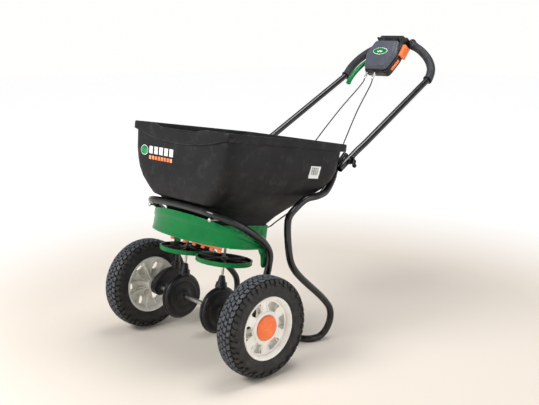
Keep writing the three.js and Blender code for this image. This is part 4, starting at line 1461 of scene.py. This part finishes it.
def phone_rest():
    """A shallow tray with a horn on each side."""
    z = BASE_FACE + 0.4
    tray = []
    for h, i in ((0, 0), (4.6, 0), (5.6, 1), (5.6, 4), (3.6, 6)):
        ring = rectangle(-44 + i, 44 - i, -38 + i, -20 - i, 5)
        tray.append([p + Vector((0, 0, z + h)) for p in ring])
    shells = [loft(tray)]
    for side in (-1, 1):
        sections = []
        for h, half, lean in HORN:
            ring = rectangle(-half, half, -half * 1.4, half * 1.4, half * 0.6)
            sections.append([Vector((p.x + side * (46 + lean), p.y - 30, z + h)) for p in ring])
        shells.append(loft(sections))
    return joined(*shells)


def lever():
    route = [
        (LEVER_X, LEVER_Y + 4, LEVER_Z - 2), (LEVER_X, LEVER_Y, LEVER_Z), (LEVER_X, -150, 50),
        (LEVER_X, -190, 64), (LEVER_X, -226, 70), (LEVER_X, -240, 68),
    ]
    path = spline(route, 8)
    count = len(path) - 1
    radii = []
    for i in range(count + 1):
        t = i / count
        tip = math.sqrt(max(0.0, 1 - max(0.0, (t - 0.94) / 0.062) ** 2))
        foot = min(1.0, 0.55 + t * 6)
        radii.append((8.4 + 1.2 * t) * foot * max(tip, 0.12))
    end = LEVER_X - 5
    pin = turned_on_x([(0, end), (4.4, end), (5, end + 1), (5, -56), (0, -56)], 32, 0, False)
    return joined(sweep(path, radii, 28, 0.86), shifted(pin, 0, LEVER_Y, LEVER_Z))


def slider_knob():
    shells = [block(71, 84, -96, -50, 26, 53.6, 3)]
    for i in range(5):
        y = -89 + 8 * i
        shells.append(block(79, 85.2, y - 1.4, y + 1.4, 29, 51, 0.8))
    shells.append(block(66, 72, -80, -54, 34, 44, 1))
    return joined(*shells)


def rate_dial():
    profile = [
        (0, BASE_BACK - 14), (24, BASE_BACK - 14), (28, BASE_BACK - 12), (30, BASE_BACK - 4),
        (30, BASE_BACK - 0.6), (0, BASE_BACK - 0.6),
    ]
    shells = [shifted(turned(profile, 64, 1, False), 0, DIAL_Y)]
    for i in range(20):
        tooth = block(29, 31.4, -1.6, 1.6, BASE_BACK - 10, BASE_BACK - 2, 0.8)
        shells.append(shifted(moved(tooth, turn("Z", math.pi / 10 * i)), 0, DIAL_Y))
    shells.append(block(-4, 4, DIAL_Y - 24, DIAL_Y + 24, BASE_BACK - 22, BASE_BACK - 13, 3.5))
    return joined(*shells)


def ferrule():
    profile = [
        (0, -164.5), (4.2, -164.5), (4.2, -172), (5.6, -173), (5.6, -179), (4.6, -180), (4.6, -192),
        (3.4, -196), (0, -196),
    ]
    return moved(turned(profile, 32, 0.5, False), turn("X", -math.pi / 2))


def add_console():
    piece("console_housing", console_base(), CONSOLE, "handle", BLACK, ["console_base"], 0.8)
    piece("console_lid", console_cover(), CONSOLE, "handle", COVER, ["console_cover"], sharp=24)
    piece("badge_border", badge_oval(32, 15, 0, 1.2), CONSOLE, "handle", WHITE, ["console_badge"], 0.3)
    piece("badge_field", badge_oval(29.6, 12.8, 0.6, 1.9), CONSOLE, "handle", GREEN, bevel=0.3)
    piece("badge_mark", badge_mark(), CONSOLE, "handle", WHITE)
    piece("phone_cradle", phone_rest(), CONSOLE, "handle", BLACK, ["phone_rest"], sharp=30)
    piece("lever_green", lever(), CONSOLE, "shut_off_lever", GREEN, ["shut_off_lever"])
    piece(
        "slider_orange", slider_knob(), CONSOLE, "shield_slider", ORANGE, ["side_shield_slider"],
        0.7,
    )
    strip = moved(block(-1.6, 1.8, -46, -2, 34, 44, 1), turn("Z", -0.288))
    piece("slider_track", shifted(strip, 70, -106), CONSOLE, "handle", ORANGE, bevel=0.5)
    piece("rate_dial_knob", rate_dial(), CONSOLE, "rate_dial", BLACK, ["rate_dial"], 0.6)
    for name, x in FERRULES.items():
        place = CONSOLE @ shift(x, 0, FERRULE_Z)
        piece(f"ferrule_{name}", ferrule(), place, "handle", ZINC, [f"cable_ferrule_{name}"])


# Control cables, each one run from the console to the gate or the side shield

CABLES = {
    "left": (
        [
            console_point(FERRULES["left"], FERRULE_END, FERRULE_Z),
            console_point(1, -205, FERRULE_Z - 1),
        ],
        [
            (76, 550, 656), (157, 410, 552), (170, 382, 522), (164, 364, 486), (165, 354, 452),
            (170, 342, 424), (170, 324, 398), (166, 293, 368), (156, 262, 346), (142, 233, 324),
            (128, 206, 300), (112, 184, 276), (98, 170, 257), (92, 156, 253), (92, 142, 253),
        ],
    ),
    "right": (
        [
            console_point(FERRULES["right"], FERRULE_END, FERRULE_Z),
            console_point(-37, -205, FERRULE_Z - 1),
        ],
        [
            (4, 539, 654), (55, 388, 548), (64, 358, 522), (72, 346, 486), (77, 338, 452),
            (79, 326, 424), (77, 304, 396), (74, 268, 368), (68, 246, 340), (60, 218, 308),
            (48, 194, 280), (42, 174, 258), (40, 156, 253), (40, 142, 253),
        ],
    ),
}
CABLE_R = 2.2


def add_cables():
    for name, (top, lower) in CABLES.items():
        route = spline([*top, *(leaning(*p) for p in lower)], 8)
        nodes = [f"cable_{name}_upper", f"cable_{name}_lower"]
        run = piece(f"cable_{name}", sweep(route, CABLE_R, 14), FLOOR, None, JACKET, nodes)
        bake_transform(run)


# Scene

add_camera()
add_world()
add_floor()
add_area("key", (-0.5, -2.7, 2.3), (0, 0, 0.5), 1.3, 62)
add_area("top", (0.3, 0.2, 3.0), (0, 0, 0.4), 1.4, 46)
add_area("fill", (3.0, 0.6, 1.5), (0, 0, 0.4), 2.2, 20)
bpy.context.scene.view_settings.view_transform = "Standard"

add_hopper()
add_shroud()
add_metering()
add_drive()
add_wheels()
add_brackets()
add_tubes()
add_grips()
add_fasteners()
add_console()
add_cables()

for name in ("pinion_left", "pinion_right", "ring_gear_left", "ring_gear_right"):
    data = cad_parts[name].data
    data.materials.clear()
    data.materials.append(BLACK)
